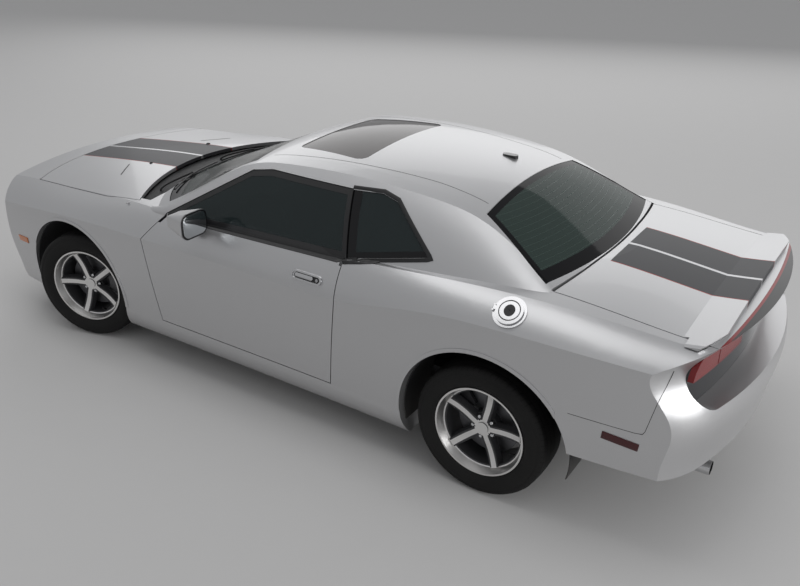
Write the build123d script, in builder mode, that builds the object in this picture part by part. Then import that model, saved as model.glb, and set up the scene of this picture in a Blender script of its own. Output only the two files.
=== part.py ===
from build123d import *
from math import cos, radians, sin
import os

# Muscle car, in millimetres. +X is forward, +Y is the left side and +Z is up.
# The origin lies on the ground under the middle of the car's length and width.

# Overall driving dimensions
overall_length = 5022
overall_width = 1923
overall_height = 1449
wheelbase = 2946
front_overhang = 940
track = 1600
half_length = overall_length / 2
half_width = overall_width / 2
front_axle_x = half_length - front_overhang
rear_axle_x = front_axle_x - wheelbase
wheel_y = track / 2

# Gaps and clearances
panel_gap = 5
hinge_gap = 8
seat_gap = 0.3
pin_clearance = 0.3
cut_over = 40

# Wall thicknesses
side_wall = 100
shoulder_wall = 62
top_wall = 38
pillar_wall = 45
glass_depth = 3
glass_thickness = 6

# Wheels and tyres
tyre_radius = 358
tyre_width = 235
bead_radius = 236
rim_radius = 243
rim_half_width = 105
barrel_radius = 211
barrel_wall = 6
lip_radius = 218
lip_edge_radius = 234
well_half_width = 24
bead_seat_z = 62
tyre_bead_inset = 8
tyre_bulge_radius = 290
tyre_shoulder_radius = 322
tyre_shoulder_inset = 5
tyre_edge_inset = 26
tyre_crown = 5
dish_sag = 8
front_parked_turn = 2
rear_parked_turn = 42
lip_depth = 40
hub_radius = 76
hub_face = 56
hub_back = -45
spoke_count = 5
spoke_root_width = 34
spoke_tip_width = 46
spoke_tip_radius = 214
spoke_face_rise = 20
spoke_depth = 46
spoke_draft = 14
nut_circle_radius = 58
nut_radius = 9
nut_length = 12
cap_radius = 31
cap_depth = 4
spindle_radius = 30
spindle_tip = 0
disc_radius = 172
disc_front = -17
disc_thickness = 28

# Wheel arches
front_arch_radius = 440
rear_arch_radius = 455
rear_arch_shift = -14
arch_lip_width = 20
arch_lip_proud = 4
liner_wall = 5
front_liner_y = 485
rear_liner_y = 620
liner_outer_y = 880
liner_bottom_z = 260

# Steering, with the front wheels turned as the car is parked
steer_angle = 16
rear_caliper_turn = 150
bracket_width = 40
kingpin_y = 725

# Body heights and joints
body_bottom_z = 185
rocker_z = 330
floor_thickness = 30
floor_half_width = 755
tunnel_half_width = 190
tunnel_top_z = 420
tunnel_wall = 20
trunk_floor_z = 430
kick_x = -810
firewall_x = 985
firewall_wall = 30

# Doors and side windows, in side view
door_front_bottom_x = 798
door_front_crease_x = 888
door_crease_z = 852
door_front_top_x = 745
door_rear_x = -534
door_rear_bottom_x = -480
door_bottom_z = rocker_z + panel_gap
belt_front_z = 1014
belt_rear_z = 1050
window_corner_x = 225
window_corner_z = 1322
window_top_front_x = 90
window_top_z = 1346
post_top_x = -448
quarter_top_x = -630
quarter_top_z = 1356
quarter_high_x = -722
quarter_high_z = 1335
quarter_tip_x = -985
quarter_tip_z = 1143
frame_width = 26
frame_depth = 2
frame_thickness = 26
post_depth = 12
post_width = 95
post_sink = 60
post_gap = 10
door_inner_y = 810
door_step_y = 872
door_step = 14

# Hinges
door_hinge_x = 775
door_hinge_y = 911
door_hinge_heights = (480, 760)
door_leaf_thickness = 12
door_leaf_width = 14
door_pin_radius = 6
door_pin_length = 56
hinge_post_y = 790
hinge_post_top_z = 880
hinge_post_width = 60
lid_pin_radius = 5
lid_pin_reach = 32
hood_hinge_x = 1100
pin_drop_deck = 10
pin_rise_hood = -6
deck_hinge_x = -1900
deck_front_gap = 13

# Hood, deck lid, roof and glass, in plan
hood_rear_centre_x = 1288
hood_rear_corner_x = 1056
hood_rear_y = 765
hood_mid_x = 1323
hood_mid_y = 786
hood_fore_x = 1695
hood_fore_y = 764
hood_front_corner_x = 2042
hood_front_corner_y = 742
hood_front_centre_x = 2225
hood_thickness = 22
hood_cut_z = 860
cowl_drop = 30
cowl_thickness = 18
cowl_half_width = 742
screen_base_x = 1142
screen_base_corner_x = 812
screen_base_corner_y = 748
screen_top_corner_x = 272
screen_top_corner_y = 560
screen_top_centre_x = 335
roof_mid_y = 492
roof_mid_x = -330
rear_screen_top_y = 521
rear_screen_top_x = -1160
rear_screen_top_centre_x = -1143
rear_screen_base_y = 682
rear_screen_base_x = -1566
rear_screen_base_centre_x = -1664
deck_front_x = -1612
deck_front_centre_x = -1680
deck_half_width = 690
deck_rear_x = -2560
sunroof_front_x = 130
sunroof_rear_x = -362
sunroof_front_y = 365
sunroof_rear_y = 430
sunroof_radius = 55

# Nose and tail joints
nose_joint_x = 2056
nose_wrap_z = 560
nose_wall_x = 2190
tail_joint_low_x = -2168
tail_joint_mid_x = -2232
tail_joint_top_x = -2256
tail_wrap_z = 662
tail_joint_mid_z = 975
tail_wall_x = -2215
tail_bottom_z = 440
nose_bottom_z = 215

# Tail recess with its lamps and panel
recess_half_width = 782
recess_low_z = 752
recess_high_z = 1026
recess_radius = 120
recess_back_x = -2352
recess_side_back_x = -2262
tail_panel_thickness = 16
tail_lamp_depth = 26
tail_lamp_low_z = 905
tail_lamp_inner_y = 300
tail_lamp_split_y = 560
tail_lamp_gap = 8

# Nose recess with its grille and lamps
mouth_half_width = 792
mouth_low_z = 640
mouth_high_z = 852
mouth_radius = 95
mouth_back_x = 2330
mouth_side_back_x = 2205
grille_half_width = 345
grille_bar_thickness = 9
grille_bar_count = 5
grille_depth = 34
headlamp_radius = 84
headlamp_inner_y = 452
headlamp_outer_y = 650
headlamp_z = 745
headlamp_depth = 40
intake_half_width = 520
intake_low_z = 285
intake_high_z = 430
intake_radius = 55
intake_back_x = 2350
intake_side_back_x = 2290
plate_thickness = 8

# Underbody, running gear and powertrain
subframe_front_x = 1700
subframe_rear_x = 1440
subframe_half_width = 400
subframe_low_z = 200
subframe_high_z = 262
arm_low_z = 206
arm_thickness = 22
arm_half_width = 22
upper_arm_z = 506
strut_radius = 42
strut_y = 566
knuckle_inner_y = 702
knuckle_thickness = 46
knuckle_half_width = 34
caliper_outer_radius = 198
caliper_inner_radius = 112
caliper_back = -80
caliper_front = 10
caliper_angle = 52
caliper_gap = 4
engine_front_x = 1760
engine_half_width = 310
engine_low_z = subframe_high_z
engine_high_z = 800
gearbox_front_x = 1100
gearbox_rear_x = 330
gearbox_half_width = 135
gearbox_high_z = 392
shaft_radius = 32
shaft_z = 330
radiator_front_x = 2120
radiator_thickness = 50
radiator_half_width = 420
radiator_high_z = 760
rear_frame_front_x = -1215
rear_frame_rear_x = -1545
rear_frame_half_width = 430
rear_frame_low_z = 262
rear_frame_high_z = 318
frame_mount_radius = 30
diff_radius = 95
axle_shaft_radius = 17
pipe_radius = 24
pipe_y = 140
pipe_z = 222
pipe_front_x = 1290
pipe_turn_x = -1600
muffler_front_x = -1790
muffler_rear_x = -2130
muffler_y = 430
muffler_half_width = 130
muffler_low_z = 262
muffler_high_z = 402
tail_pipe_x = -2400
tail_pipe_y = 545
tail_pipe_wall = 3
tail_pipe_radius = 36
tank_front_x = -840
tank_rear_x = -1130
tank_half_width = 560
tank_low_z = 252
tank_saddle_z = 380
tank_channel_half_width = 60

# Cabin furniture
dash_front_x = 950
dash_rear_x = 560
dash_half_width = 690
dash_top_half_width = 755
dash_top_z = 885
dash_low_z = 560
dash_high_z = 955
console_rear_x = -330
console_half_width = 120
console_high_z = 560
wheel_rim_radius = 182
wheel_tube_radius = 14
wheel_centre_x = 400
wheel_centre_z = 870
wheel_tilt = 24
driver_y = 370
wheel_hub_radius = 62
wheel_hub_depth = 40
wheel_spoke_width = 30
column_radius = 30
column_length = 230
seat_half_width = 245
seat_front_x = 230
seat_hip_x = -330
seat_cushion_z = 500
seat_back_top_z = 1085
seat_back_rake = 190
seat_thickness = 130
rear_seat_front_x = -640
rear_seat_back_x = -1060
rear_seat_half_width = 590
rear_seat_top_z = 930
rear_seat_thickness = 100
headrest_half_width = 130
headrest_height = 70
shelf_z = 905
shelf_thickness = 16
shelf_rear_x = -1600
shelf_front_x = -1125

# Mirrors, handles, spoiler, fuel filler and aerial
mirror_x = 430
mirror_y = 1000
mirror_z = 1088
mirror_length = 150
mirror_width = 190
mirror_height = 150
mirror_radius = 48
mirror_draft = 16
mirror_foot_x = 480
mirror_foot_width = 44
mirror_foot_low_z = 990
mirror_foot_high_z = 1072
handle_x = -350
handle_z = 930
handle_length = 200
handle_height = 46
handle_proud = 6
spoiler_front_x = -2212
spoiler_rear_x = -2372
spoiler_half_width = 762
spoiler_angle = 12
spoiler_height = 60
filler_x = -1492
filler_radius = 80
filler_ring_height = 5
flap_radius = 66
flap_height = 9
flap_hinge_offset = 78
flap_pin_radius = 2
flap_clearance = 0.2
flap_tab_half_width = 10
ear_thickness = 7
aerial_x = -955
aerial_y = -130
aerial_length = 90
aerial_width = 40
aerial_top_z = 1428

# Lower body sections, as shares of the half length, half width and height:
# (x, sill y, crease y, crease z, shoulder y, shoulder z, centre z)
body_shares = [
    (1.043, 0.822, 0.861, 0.519, 0.686, 0.599, 0.625),
    (0.916, 0.886, 0.907, 0.537, 0.754, 0.631, 0.654),
    (0.777, 0.931, 0.949, 0.562, 0.780, 0.654, 0.683),
    (0.626, 0.952, 0.967, 0.582, 0.799, 0.671, 0.711),
    (0.458, 0.955, 0.969, 0.589, 0.822, 0.692, 0.729),
    (0.279, 0.952, 0.970, 0.590, 0.861, 0.701, 0.733),
    (0.060, 0.951, 0.973, 0.589, 0.880, 0.715, 0.738),
    (-0.139, 0.953, 0.978, 0.587, 0.882, 0.723, 0.745),
    (-0.239, 0.955, 0.982, 0.599, 0.879, 0.732, 0.752),
    (-0.339, 0.959, 0.988, 0.631, 0.872, 0.744, 0.759),
    (-0.458, 0.965, 0.996, 0.664, 0.859, 0.755, 0.772),
    (-0.621, 0.967, 0.996, 0.677, 0.832, 0.758, 0.785),
    (-0.757, 0.952, 0.976, 0.673, 0.799, 0.744, 0.772),
    (-0.896, 0.920, 0.938, 0.664, 0.772, 0.725, 0.744),
    (-1.043, 0.868, 0.884, 0.652, 0.733, 0.712, 0.730),
]
sill_tuck = 50
side_bulge = 14
flank_bulge = 6

# Cabin sections, as shares of the half length, half width and height:
# (x, belt y, belt z, rail y, rail z, centre z)
cabin_shares = [
    (0.518, 0.728, 0.642, 0.624, 0.656, 0.666),
    (0.418, 0.832, 0.663, 0.728, 0.690, 0.737),
    (0.311, 0.872, 0.680, 0.820, 0.722, 0.813),
    (0.207, 0.884, 0.690, 0.730, 0.832, 0.888),
    (0.104, 0.886, 0.690, 0.647, 0.928, 0.955),
    (0.000, 0.886, 0.690, 0.626, 0.958, 0.990),
    (-0.167, 0.886, 0.690, 0.616, 0.968, 1.005),
    (-0.339, 0.884, 0.690, 0.607, 0.951, 0.988),
    (-0.458, 0.879, 0.690, 0.601, 0.914, 0.947),
    (-0.566, 0.863, 0.690, 0.645, 0.832, 0.863),
    (-0.677, 0.832, 0.690, 0.718, 0.745, 0.769),
    (-0.757, 0.790, 0.663, 0.666, 0.690, 0.704),
]
cabin_bulge = 22

# Plan outlines that round off the nose and the tail: (z, nose x, tail x) as shares
plan_shares = [
    (0.090, 0.950, -0.925),
    (0.180, 0.966, -0.950),
    (0.310, 0.990, -0.988),
    (0.400, 1.000, -0.996),
    (0.500, 0.998, -1.000),
    (0.560, 0.992, -0.984),
    (0.660, 0.966, -0.962),
    (0.780, 0.930, -0.950),
]
end_bow = 105
end_half_width = 690
corner_length = 330
corner_bulge = 62
plan_half_width = 1000


def mirrored(points):
    """Points of the right side, in the opposite order."""
    return [(-y, z) for y, z in reversed(points)]


def body_section(shares, inset_side, inset_shoulder, inset_top, drop):
    """One closed section of the lower body, inside the outer skin by the insets."""
    x, sill_y, crease_y, crease_z, shoulder_y, shoulder_z, centre_z = shares
    foot = (half_width * sill_y - sill_tuck - inset_side, body_bottom_z - drop)
    sill = (half_width * sill_y - inset_side, rocker_z)
    crease = (half_width * crease_y - inset_side, overall_height * crease_z)
    shoulder = (half_width * shoulder_y - inset_shoulder, overall_height * shoulder_z - inset_top)
    crown = (0, overall_height * centre_z - inset_top)
    right = mirrored([foot, sill, crease, shoulder])
    with BuildSketch(Plane.YZ.offset(half_length * x)) as section:
        with BuildLine():
            Line(right[3], foot)
            SagittaArc(foot, sill, -side_bulge)
            SagittaArc(sill, crease, -flank_bulge)
            SagittaArc(crease, shoulder, -side_bulge)
            ThreePointArc(shoulder, crown, right[0])
            SagittaArc(right[0], right[1], -side_bulge)
            SagittaArc(right[1], right[2], -flank_bulge)
            SagittaArc(right[2], right[3], -side_bulge)
        make_face()
    return section.sketch


def cabin_section(shares, inset):
    """One closed section of the cabin, inside the outer skin by the inset."""
    x, belt_y, belt_z, rail_y, rail_z, centre_z = shares
    belt = (half_width * belt_y - inset, overall_height * belt_z - inset)
    rail = (half_width * rail_y - inset, overall_height * rail_z - inset)
    crown = (0, overall_height * centre_z - inset)
    right = mirrored([belt, rail])
    with BuildSketch(Plane.YZ.offset(half_length * x)) as section:
        with BuildLine():
            Line(right[1], belt)
            SagittaArc(belt, rail, -cabin_bulge)
            ThreePointArc(rail, crown, right[0])
            SagittaArc(right[0], right[1], -cabin_bulge)
        make_face()
    return section.sketch


def cabin_loft(inset):
    """The cabin's closed form, inside the outer skin by the inset."""
    with BuildPart() as form:
        for shares in cabin_shares:
            add(cabin_section(shares, inset))
        loft()
    return form.part


def side_block(points, y_low, y_high, grow=0, radius=0):
    """A block with an outline drawn in side view, between two distances on the left."""
    with BuildPart() as block:
        with BuildSketch(Plane.XZ.offset(-y_high)):
            with BuildLine():
                if radius:
                    FilletPolyline(*points, radius=radius, close=True)
                else:
                    Polyline(*points, close=True)
            make_face()
            if grow:
                offset(amount=grow, kind=Kind.INTERSECTION)
        extrude(amount=y_high - y_low)
    return block.part


def front_block(points, x_low, x_high, radius=0):
    """A block with an outline drawn in front view, between two places along the car."""
    with BuildPart() as block:
        with BuildSketch(Plane.YZ.offset(x_low)):
            with BuildLine():
                if radius:
                    FilletPolyline(*points, radius=radius, close=True)
                else:
                    Polyline(*points, close=True)
            make_face()
        extrude(amount=x_high - x_low)
    return block.part


def box_between(x_low, x_high, y_low, y_high, z_low, z_high):
    """A box between two corners."""
    with BuildPart() as block:
        with BuildSketch(Plane.XY.offset(z_low)):
            with Locations(((x_low + x_high) / 2, (y_low + y_high) / 2)):
                Rectangle(x_high - x_low, y_high - y_low)
        extrude(amount=z_high - z_low)
    return block.part


def section_at(x):
    """Shares of the lower body at a place along the car, between the two nearest sections."""
    share = x / half_length
    for ahead, behind in zip(body_shares, body_shares[1:]):
        if behind[0] <= share <= ahead[0]:
            part_way = (share - behind[0]) / (ahead[0] - behind[0])
            return [b + part_way * (a - b) for a, b in zip(ahead, behind)]
    return body_shares[-1]


# Outer and inner forms of the body
with BuildPart() as plan_form:
    for z, nose_x, tail_x in plan_shares:
        nose = half_length * nose_x
        tail = half_length * tail_x
        nose_edge = (nose - end_bow, end_half_width)
        tail_edge = (tail + end_bow, end_half_width)
        nose_side = (nose - end_bow - corner_length, plan_half_width)
        tail_side = (tail + end_bow + corner_length, plan_half_width)
        with BuildSketch(Plane.XY.offset(overall_height * z)):
            with BuildLine():
                ThreePointArc((nose_edge[0], -nose_edge[1]), (nose, 0), nose_edge)
                SagittaArc(nose_edge, nose_side, -corner_bulge)
                Line(nose_side, tail_side)
                SagittaArc(tail_side, tail_edge, -corner_bulge)
                ThreePointArc(tail_edge, (tail, 0), (tail_edge[0], -tail_edge[1]))
                SagittaArc((tail_edge[0], -tail_edge[1]), (tail_side[0], -tail_side[1]), -corner_bulge)
                Line((tail_side[0], -tail_side[1]), (nose_side[0], -nose_side[1]))
                SagittaArc((nose_side[0], -nose_side[1]), (nose_edge[0], -nose_edge[1]), -corner_bulge)
            make_face()
    loft()

with BuildPart() as lower_form:
    for shares in body_shares:
        add(body_section(shares, 0, 0, 0, 0))
    loft()
    add(plan_form.part, mode=Mode.INTERSECT)

with BuildPart() as lower_hollow:
    for shares in body_shares:
        add(body_section(shares, side_wall, shoulder_wall, top_wall, cut_over))
    loft()
    add(box_between(tail_wall_x, nose_wall_x, -half_width, half_width, 0, overall_height),
        mode=Mode.INTERSECT)

cabin_form = cabin_loft(0)
cabin_hollow = cabin_loft(pillar_wall)
glass_outer = cabin_loft(glass_depth)
glass_inner = cabin_loft(glass_depth + glass_thickness)
post_outer = cabin_loft(post_depth)

with BuildPart() as shell:
    add(lower_form.part)
    add(cabin_form)
    add(lower_hollow.part, mode=Mode.SUBTRACT)
    add(cabin_hollow, mode=Mode.SUBTRACT)

with BuildPart() as left_shell:
    add(shell.part)
    split(bisect_by=Plane.XZ, keep=Keep.BOTTOM)

with BuildPart() as glass_shell:
    add(glass_outer)
    add(glass_inner, mode=Mode.SUBTRACT)


def export(part, name):
    """Label a finished piece and write its file."""
    part.label = name
    export_step(part, f"parts/{name}.step")


def export_pair(part, name):
    """Write a left piece and its mirror image on the right."""
    export(part, f"{name}_left")
    with BuildPart() as right:
        mirror(part, about=Plane.XZ)
    export(right.part, f"{name}_right")


os.makedirs("parts", exist_ok=True)
outside_y = half_width + cut_over
above_z = overall_height + 2 * cut_over

# Plan outlines of what closes the top of the body, on the left side from front to rear
hood_side = [(hood_front_corner_x, hood_front_corner_y), (hood_fore_x, hood_fore_y),
             (hood_mid_x, hood_mid_y), (hood_rear_corner_x, hood_rear_y)]
screen_side = [(screen_base_corner_x, screen_base_corner_y), (screen_top_corner_x, screen_top_corner_y)]
roof_side = [(screen_top_corner_x, screen_top_corner_y), (roof_mid_x, roof_mid_y),
             (rear_screen_top_x, rear_screen_top_y)]
rear_screen_side = [(rear_screen_top_x, rear_screen_top_y), (rear_screen_base_x, rear_screen_base_y)]
deck_side = [(deck_front_x, deck_half_width), (deck_rear_x, deck_half_width)]


def arched_block(side, front_x, rear_x, z_low, z_high, grow=0):
    """A plan block whose front and rear edges are arcs across the car.

    Where front_x or rear_x is None, that edge is straight.
    """
    right = [(x, -y) for x, y in reversed(side)]
    with BuildPart() as block:
        with BuildSketch(Plane.XY.offset(z_low)):
            with BuildLine():
                Polyline(*side)
                if rear_x is None:
                    Line(side[-1], right[0])
                else:
                    ThreePointArc(side[-1], (rear_x, 0), right[0])
                Polyline(*right)
                if front_x is None:
                    Line(right[-1], side[0])
                else:
                    ThreePointArc(right[-1], (front_x, 0), side[0])
            make_face()
            if grow:
                offset(amount=grow)
        extrude(amount=z_high - z_low)
    return block.part


hood_block = arched_block(hood_side, hood_front_centre_x, hood_rear_centre_x, rocker_z, above_z)
hood_hole = arched_block(hood_side, hood_front_centre_x, hood_rear_centre_x, rocker_z, above_z, panel_gap)
screen_block = arched_block([screen_side[0], screen_side[1]], screen_base_x, screen_top_centre_x,
                            rocker_z, above_z)
roof_block = arched_block(roof_side, screen_top_centre_x, rear_screen_top_centre_x, rocker_z, above_z)
rear_screen_block = arched_block(rear_screen_side, rear_screen_top_centre_x,
                                 rear_screen_base_centre_x, rocker_z, above_z)
deck_block = arched_block(deck_side, deck_front_centre_x, None, rocker_z, above_z)
deck_hole_side = [(deck_front_x + deck_front_gap, deck_half_width + panel_gap),
                  (deck_rear_x, deck_half_width + panel_gap)]
deck_hole = arched_block(deck_hole_side, deck_front_centre_x + deck_front_gap, None, rocker_z, above_z)

# Side-view outlines of the door and the windows
door_outline = [(door_front_bottom_x, door_bottom_z), (door_front_crease_x, door_crease_z),
                (door_front_top_x, belt_front_z), (door_rear_x, belt_rear_z),
                (door_rear_x, door_crease_z), (door_rear_bottom_x, door_bottom_z)]
window_outline = [(door_front_top_x, belt_front_z), (window_corner_x, window_corner_z),
                  (window_top_front_x, window_top_z), (post_top_x, window_top_z),
                  (door_rear_x, belt_rear_z), (door_rear_x, belt_rear_z - cut_over),
                  (door_front_top_x, belt_front_z - cut_over)]
glass_outline = window_outline[:5]
quarter_outline = [(post_top_x, window_top_z), (door_rear_x, belt_rear_z),
                   (quarter_tip_x, quarter_tip_z), (quarter_high_x, quarter_high_z),
                   (quarter_top_x, quarter_top_z)]
post_outline = [(post_top_x + cut_over, window_top_z + cut_over), (door_rear_x, belt_rear_z - post_sink),
                (door_rear_x - post_width, belt_rear_z - post_sink),
                (post_top_x - post_width, window_top_z + cut_over)]
body_side_outline = [(firewall_x, above_z), (firewall_x, belt_front_z), (0, belt_front_z),
                     (0, rocker_z), (tail_joint_low_x / 2 + rear_axle_x / 2, rocker_z),
                     (tail_joint_low_x / 2 + rear_axle_x / 2, tail_wrap_z),
                     (tail_joint_low_x, tail_wrap_z), (tail_joint_mid_x, tail_joint_mid_z),
                     (tail_joint_top_x, above_z)]
fender_outline = [(door_front_bottom_x + panel_gap, rocker_z), (door_front_bottom_x + panel_gap, door_bottom_z),
                  (door_front_crease_x + panel_gap, door_crease_z),
                  (door_front_top_x + panel_gap, belt_front_z), (firewall_x, belt_front_z),
                  (firewall_x, above_z), (nose_joint_x, above_z), (nose_joint_x, nose_wrap_z),
                  (front_axle_x + front_arch_radius / 2, nose_wrap_z),
                  (front_axle_x + front_arch_radius / 2, rocker_z)]

# Wheel arch holes with the liners' thickness taken off the panels
rear_arch_x = rear_axle_x + rear_arch_shift


def arch_cylinder(x, radius, y_low, y_high):
    """A cylinder across the car, round a wheel arch's centre."""
    with BuildPart() as form:
        with BuildSketch(Plane.XZ.offset(-y_high)):
            with Locations((x, tyre_radius)):
                Circle(radius)
        extrude(amount=y_high - y_low)
    return form.part


front_hole = arch_cylinder(front_axle_x, front_arch_radius + liner_wall + seat_gap, 0, outside_y)
rear_hole = arch_cylinder(rear_arch_x, rear_arch_radius + liner_wall + seat_gap, 0, outside_y)

lip_form = lower_form.part


def arch_lip(x, radius, outline):
    """The raised lip round a wheel arch, standing a little proud of the skin."""
    with BuildPart() as proud:
        add(lip_form.moved(Location((0, arch_lip_proud, 0))))
        add(arch_cylinder(x, radius + liner_wall + seat_gap + arch_lip_width, liner_outer_y, outside_y),
            mode=Mode.INTERSECT)
        add(arch_cylinder(x, radius + liner_wall + seat_gap, 0, outside_y), mode=Mode.SUBTRACT)
        add(side_block(outline, liner_outer_y, outside_y), mode=Mode.INTERSECT)
    return proud.part


# Body sides, each with a quarter panel, roof pillar, roof rail and windscreen pillar
window_hole = side_block(window_outline, 0, outside_y, grow=panel_gap)
quarter_hole = side_block(quarter_outline, 0, outside_y, grow=seat_gap)
door_hole = side_block(door_outline, 0, outside_y, grow=panel_gap)
with BuildPart() as body_side:
    add(left_shell.part)
    add(side_block(body_side_outline, 0, outside_y), mode=Mode.INTERSECT)
    for hole in (screen_block, roof_block, rear_screen_block, deck_hole,
                 door_hole, window_hole, quarter_hole, rear_hole):
        add(hole, mode=Mode.SUBTRACT)
    add(arch_lip(rear_arch_x, rear_arch_radius, body_side_outline))
window_clear = side_block(window_outline, 0, outside_y, grow=post_gap)
with BuildPart() as door_post:
    add(post_outer)
    add(cabin_hollow, mode=Mode.SUBTRACT)
    add(side_block(post_outline, 0, outside_y), mode=Mode.INTERSECT)
    add(window_clear, mode=Mode.SUBTRACT)
    add(roof_block, mode=Mode.SUBTRACT)
with BuildPart() as body_side_whole:
    add(body_side.part)
    add(door_post.part)

# Deck lid pins and the fuel filler's seat are on the body sides
deck_pin_z = overall_height * section_at(deck_hinge_x)[5] - pin_drop_deck
with BuildPart() as body_side_pinned:
    add(body_side_whole.part)
    with BuildSketch(Plane.XZ.offset(-(deck_half_width + hinge_gap + lid_pin_reach))):
        with Locations((deck_hinge_x, deck_pin_z)):
            Circle(lid_pin_radius)
    extrude(amount=2 * lid_pin_reach)
export_pair(body_side_pinned.part, "body_side")

# Front fenders, with the pins that the hood turns on
hood_pin_z = overall_height * section_at(hood_hinge_x)[5] + pin_rise_hood
with BuildPart() as fender:
    add(left_shell.part)
    add(side_block(fender_outline, 0, outside_y), mode=Mode.INTERSECT)
    for hole in (screen_block, hood_hole, front_hole):
        add(hole, mode=Mode.SUBTRACT)
    add(box_between(0, half_length, 0, cowl_half_width, 0, above_z), mode=Mode.SUBTRACT)
    add(arch_lip(front_axle_x, front_arch_radius, fender_outline))
    with BuildSketch(Plane.XZ.offset(-(hood_rear_y + 2 * lid_pin_reach))):
        with Locations((hood_hinge_x, hood_pin_z)):
            Circle(lid_pin_radius)
    extrude(amount=3 * lid_pin_reach)
export_pair(fender.part, "fender")

# Rockers under the doors, from one wheel arch to the other
with BuildPart() as rocker_blank:
    add(lower_form.part)
    add(box_between(rear_axle_x, front_axle_x, floor_half_width, outside_y, 0, rocker_z),
        mode=Mode.INTERSECT)
    add(front_hole, mode=Mode.SUBTRACT)
    add(rear_hole, mode=Mode.SUBTRACT)
with BuildPart() as rockers:
    add(rocker_blank.part)
    mirror(about=Plane.XZ)
export(rockers.part, "rockers")

# Roof and its glass panel
with BuildPart() as sunroof_hole:
    with BuildSketch(Plane.XY.offset(belt_rear_z - post_sink)):
        with BuildLine():
            FilletPolyline((sunroof_front_x, sunroof_front_y), (sunroof_rear_x, sunroof_rear_y),
                           (sunroof_rear_x, -sunroof_rear_y), (sunroof_front_x, -sunroof_front_y),
                           radius=sunroof_radius, close=True)
        make_face()
    extrude(amount=overall_height)
with BuildPart() as sunroof_blank:
    with BuildSketch(Plane.XY.offset(belt_rear_z - post_sink)):
        with BuildLine():
            FilletPolyline((sunroof_front_x, sunroof_front_y), (sunroof_rear_x, sunroof_rear_y),
                           (sunroof_rear_x, -sunroof_rear_y), (sunroof_front_x, -sunroof_front_y),
                           radius=sunroof_radius, close=True)
        make_face()
        offset(amount=-seat_gap)
    extrude(amount=overall_height)
with BuildPart() as roof:
    add(shell.part)
    add(roof_block, mode=Mode.INTERSECT)
    add(sunroof_hole.part, mode=Mode.SUBTRACT)
    add(box_between(-half_length, half_length, -half_width, half_width, 0, belt_rear_z),
        mode=Mode.SUBTRACT)
export(roof.part, "roof")
with BuildPart() as sunroof:
    add(glass_shell.part)
    add(sunroof_blank.part, mode=Mode.INTERSECT)
    add(box_between(-half_length, half_length, -half_width, half_width, 0, window_top_z),
        mode=Mode.SUBTRACT)
export(sunroof.part, "sunroof_glass")

# Cowl panel below the hood's rear edge, on the firewall
with BuildPart() as cowl:
    add(lower_form.part.moved(Location((0, 0, -cowl_drop))))
    add(lower_form.part.moved(Location((0, 0, -cowl_drop - cowl_thickness))), mode=Mode.SUBTRACT)
    add(box_between(firewall_x - firewall_wall, hood_mid_x, -cowl_half_width, cowl_half_width,
                    trunk_floor_z, above_z), mode=Mode.INTERSECT)
    add(hood_hole, mode=Mode.SUBTRACT)
with BuildPart() as firewall:
    add(lower_form.part.moved(Location((0, 0, -cowl_drop))))
    add(box_between(firewall_x - firewall_wall, firewall_x, -cowl_half_width, cowl_half_width,
                    body_bottom_z + floor_thickness, above_z), mode=Mode.INTERSECT)
    add(box_between(0, half_length, -tunnel_half_width, tunnel_half_width, 0, tunnel_top_z),
        mode=Mode.SUBTRACT)
    add(front_hole, mode=Mode.SUBTRACT)
    add(mirror(front_hole, about=Plane.XZ, mode=Mode.PRIVATE), mode=Mode.SUBTRACT)
hinge_post_x = door_hinge_x + hinge_post_width / 2
with BuildPart() as hinge_post:
    add(box_between(hinge_post_x - hinge_post_width, firewall_x - firewall_wall,
                    floor_half_width - hinge_post_width, hinge_post_y, rocker_z, hinge_post_top_z))
    add(box_between(hinge_post_x - hinge_post_width, firewall_x, floor_half_width - hinge_post_width,
                    floor_half_width, body_bottom_z + floor_thickness, rocker_z))
    for z in door_hinge_heights:
        add(box_between(door_hinge_x - door_leaf_width / 2, door_hinge_x + door_leaf_width / 2,
                        hinge_post_y, door_hinge_y, z - door_leaf_thickness / 2,
                        z + door_leaf_thickness / 2))
        with BuildSketch(Plane.XY.offset(z - door_pin_length / 2)):
            with Locations((door_hinge_x, door_hinge_y)):
                Circle(door_pin_radius)
        extrude(amount=door_pin_length)
with BuildPart() as cowl_whole:
    add(firewall.part)
    add(cowl.part)
    add(hinge_post.part)
    mirror(hinge_post.part, about=Plane.XZ)
export(cowl_whole.part, "cowl_and_firewall")

# Windscreen and rear screen, resting on the panels below them
with BuildPart() as windscreen:
    add(glass_shell.part)
    add(screen_block, mode=Mode.INTERSECT)
    add(lower_form.part.moved(Location((0, 0, seat_gap - cowl_drop))), mode=Mode.SUBTRACT)
export(windscreen.part, "windscreen")
with BuildPart() as rear_screen:
    add(glass_shell.part)
    add(rear_screen_block, mode=Mode.INTERSECT)
    add(box_between(-half_length, half_length, -half_width, half_width, 0, belt_rear_z),
        mode=Mode.SUBTRACT)
export(rear_screen.part, "rear_screen")

# Quarter windows
with BuildPart() as quarter_pane:
    add(glass_shell.part)
    add(side_block(quarter_outline, 0, outside_y), mode=Mode.INTERSECT)
    add(window_clear, mode=Mode.SUBTRACT)
with BuildPart() as quarter_glass:
    add(quarter_pane.part)
    mirror(about=Plane.XZ)
export(quarter_glass.part, "quarter_glass")

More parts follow.
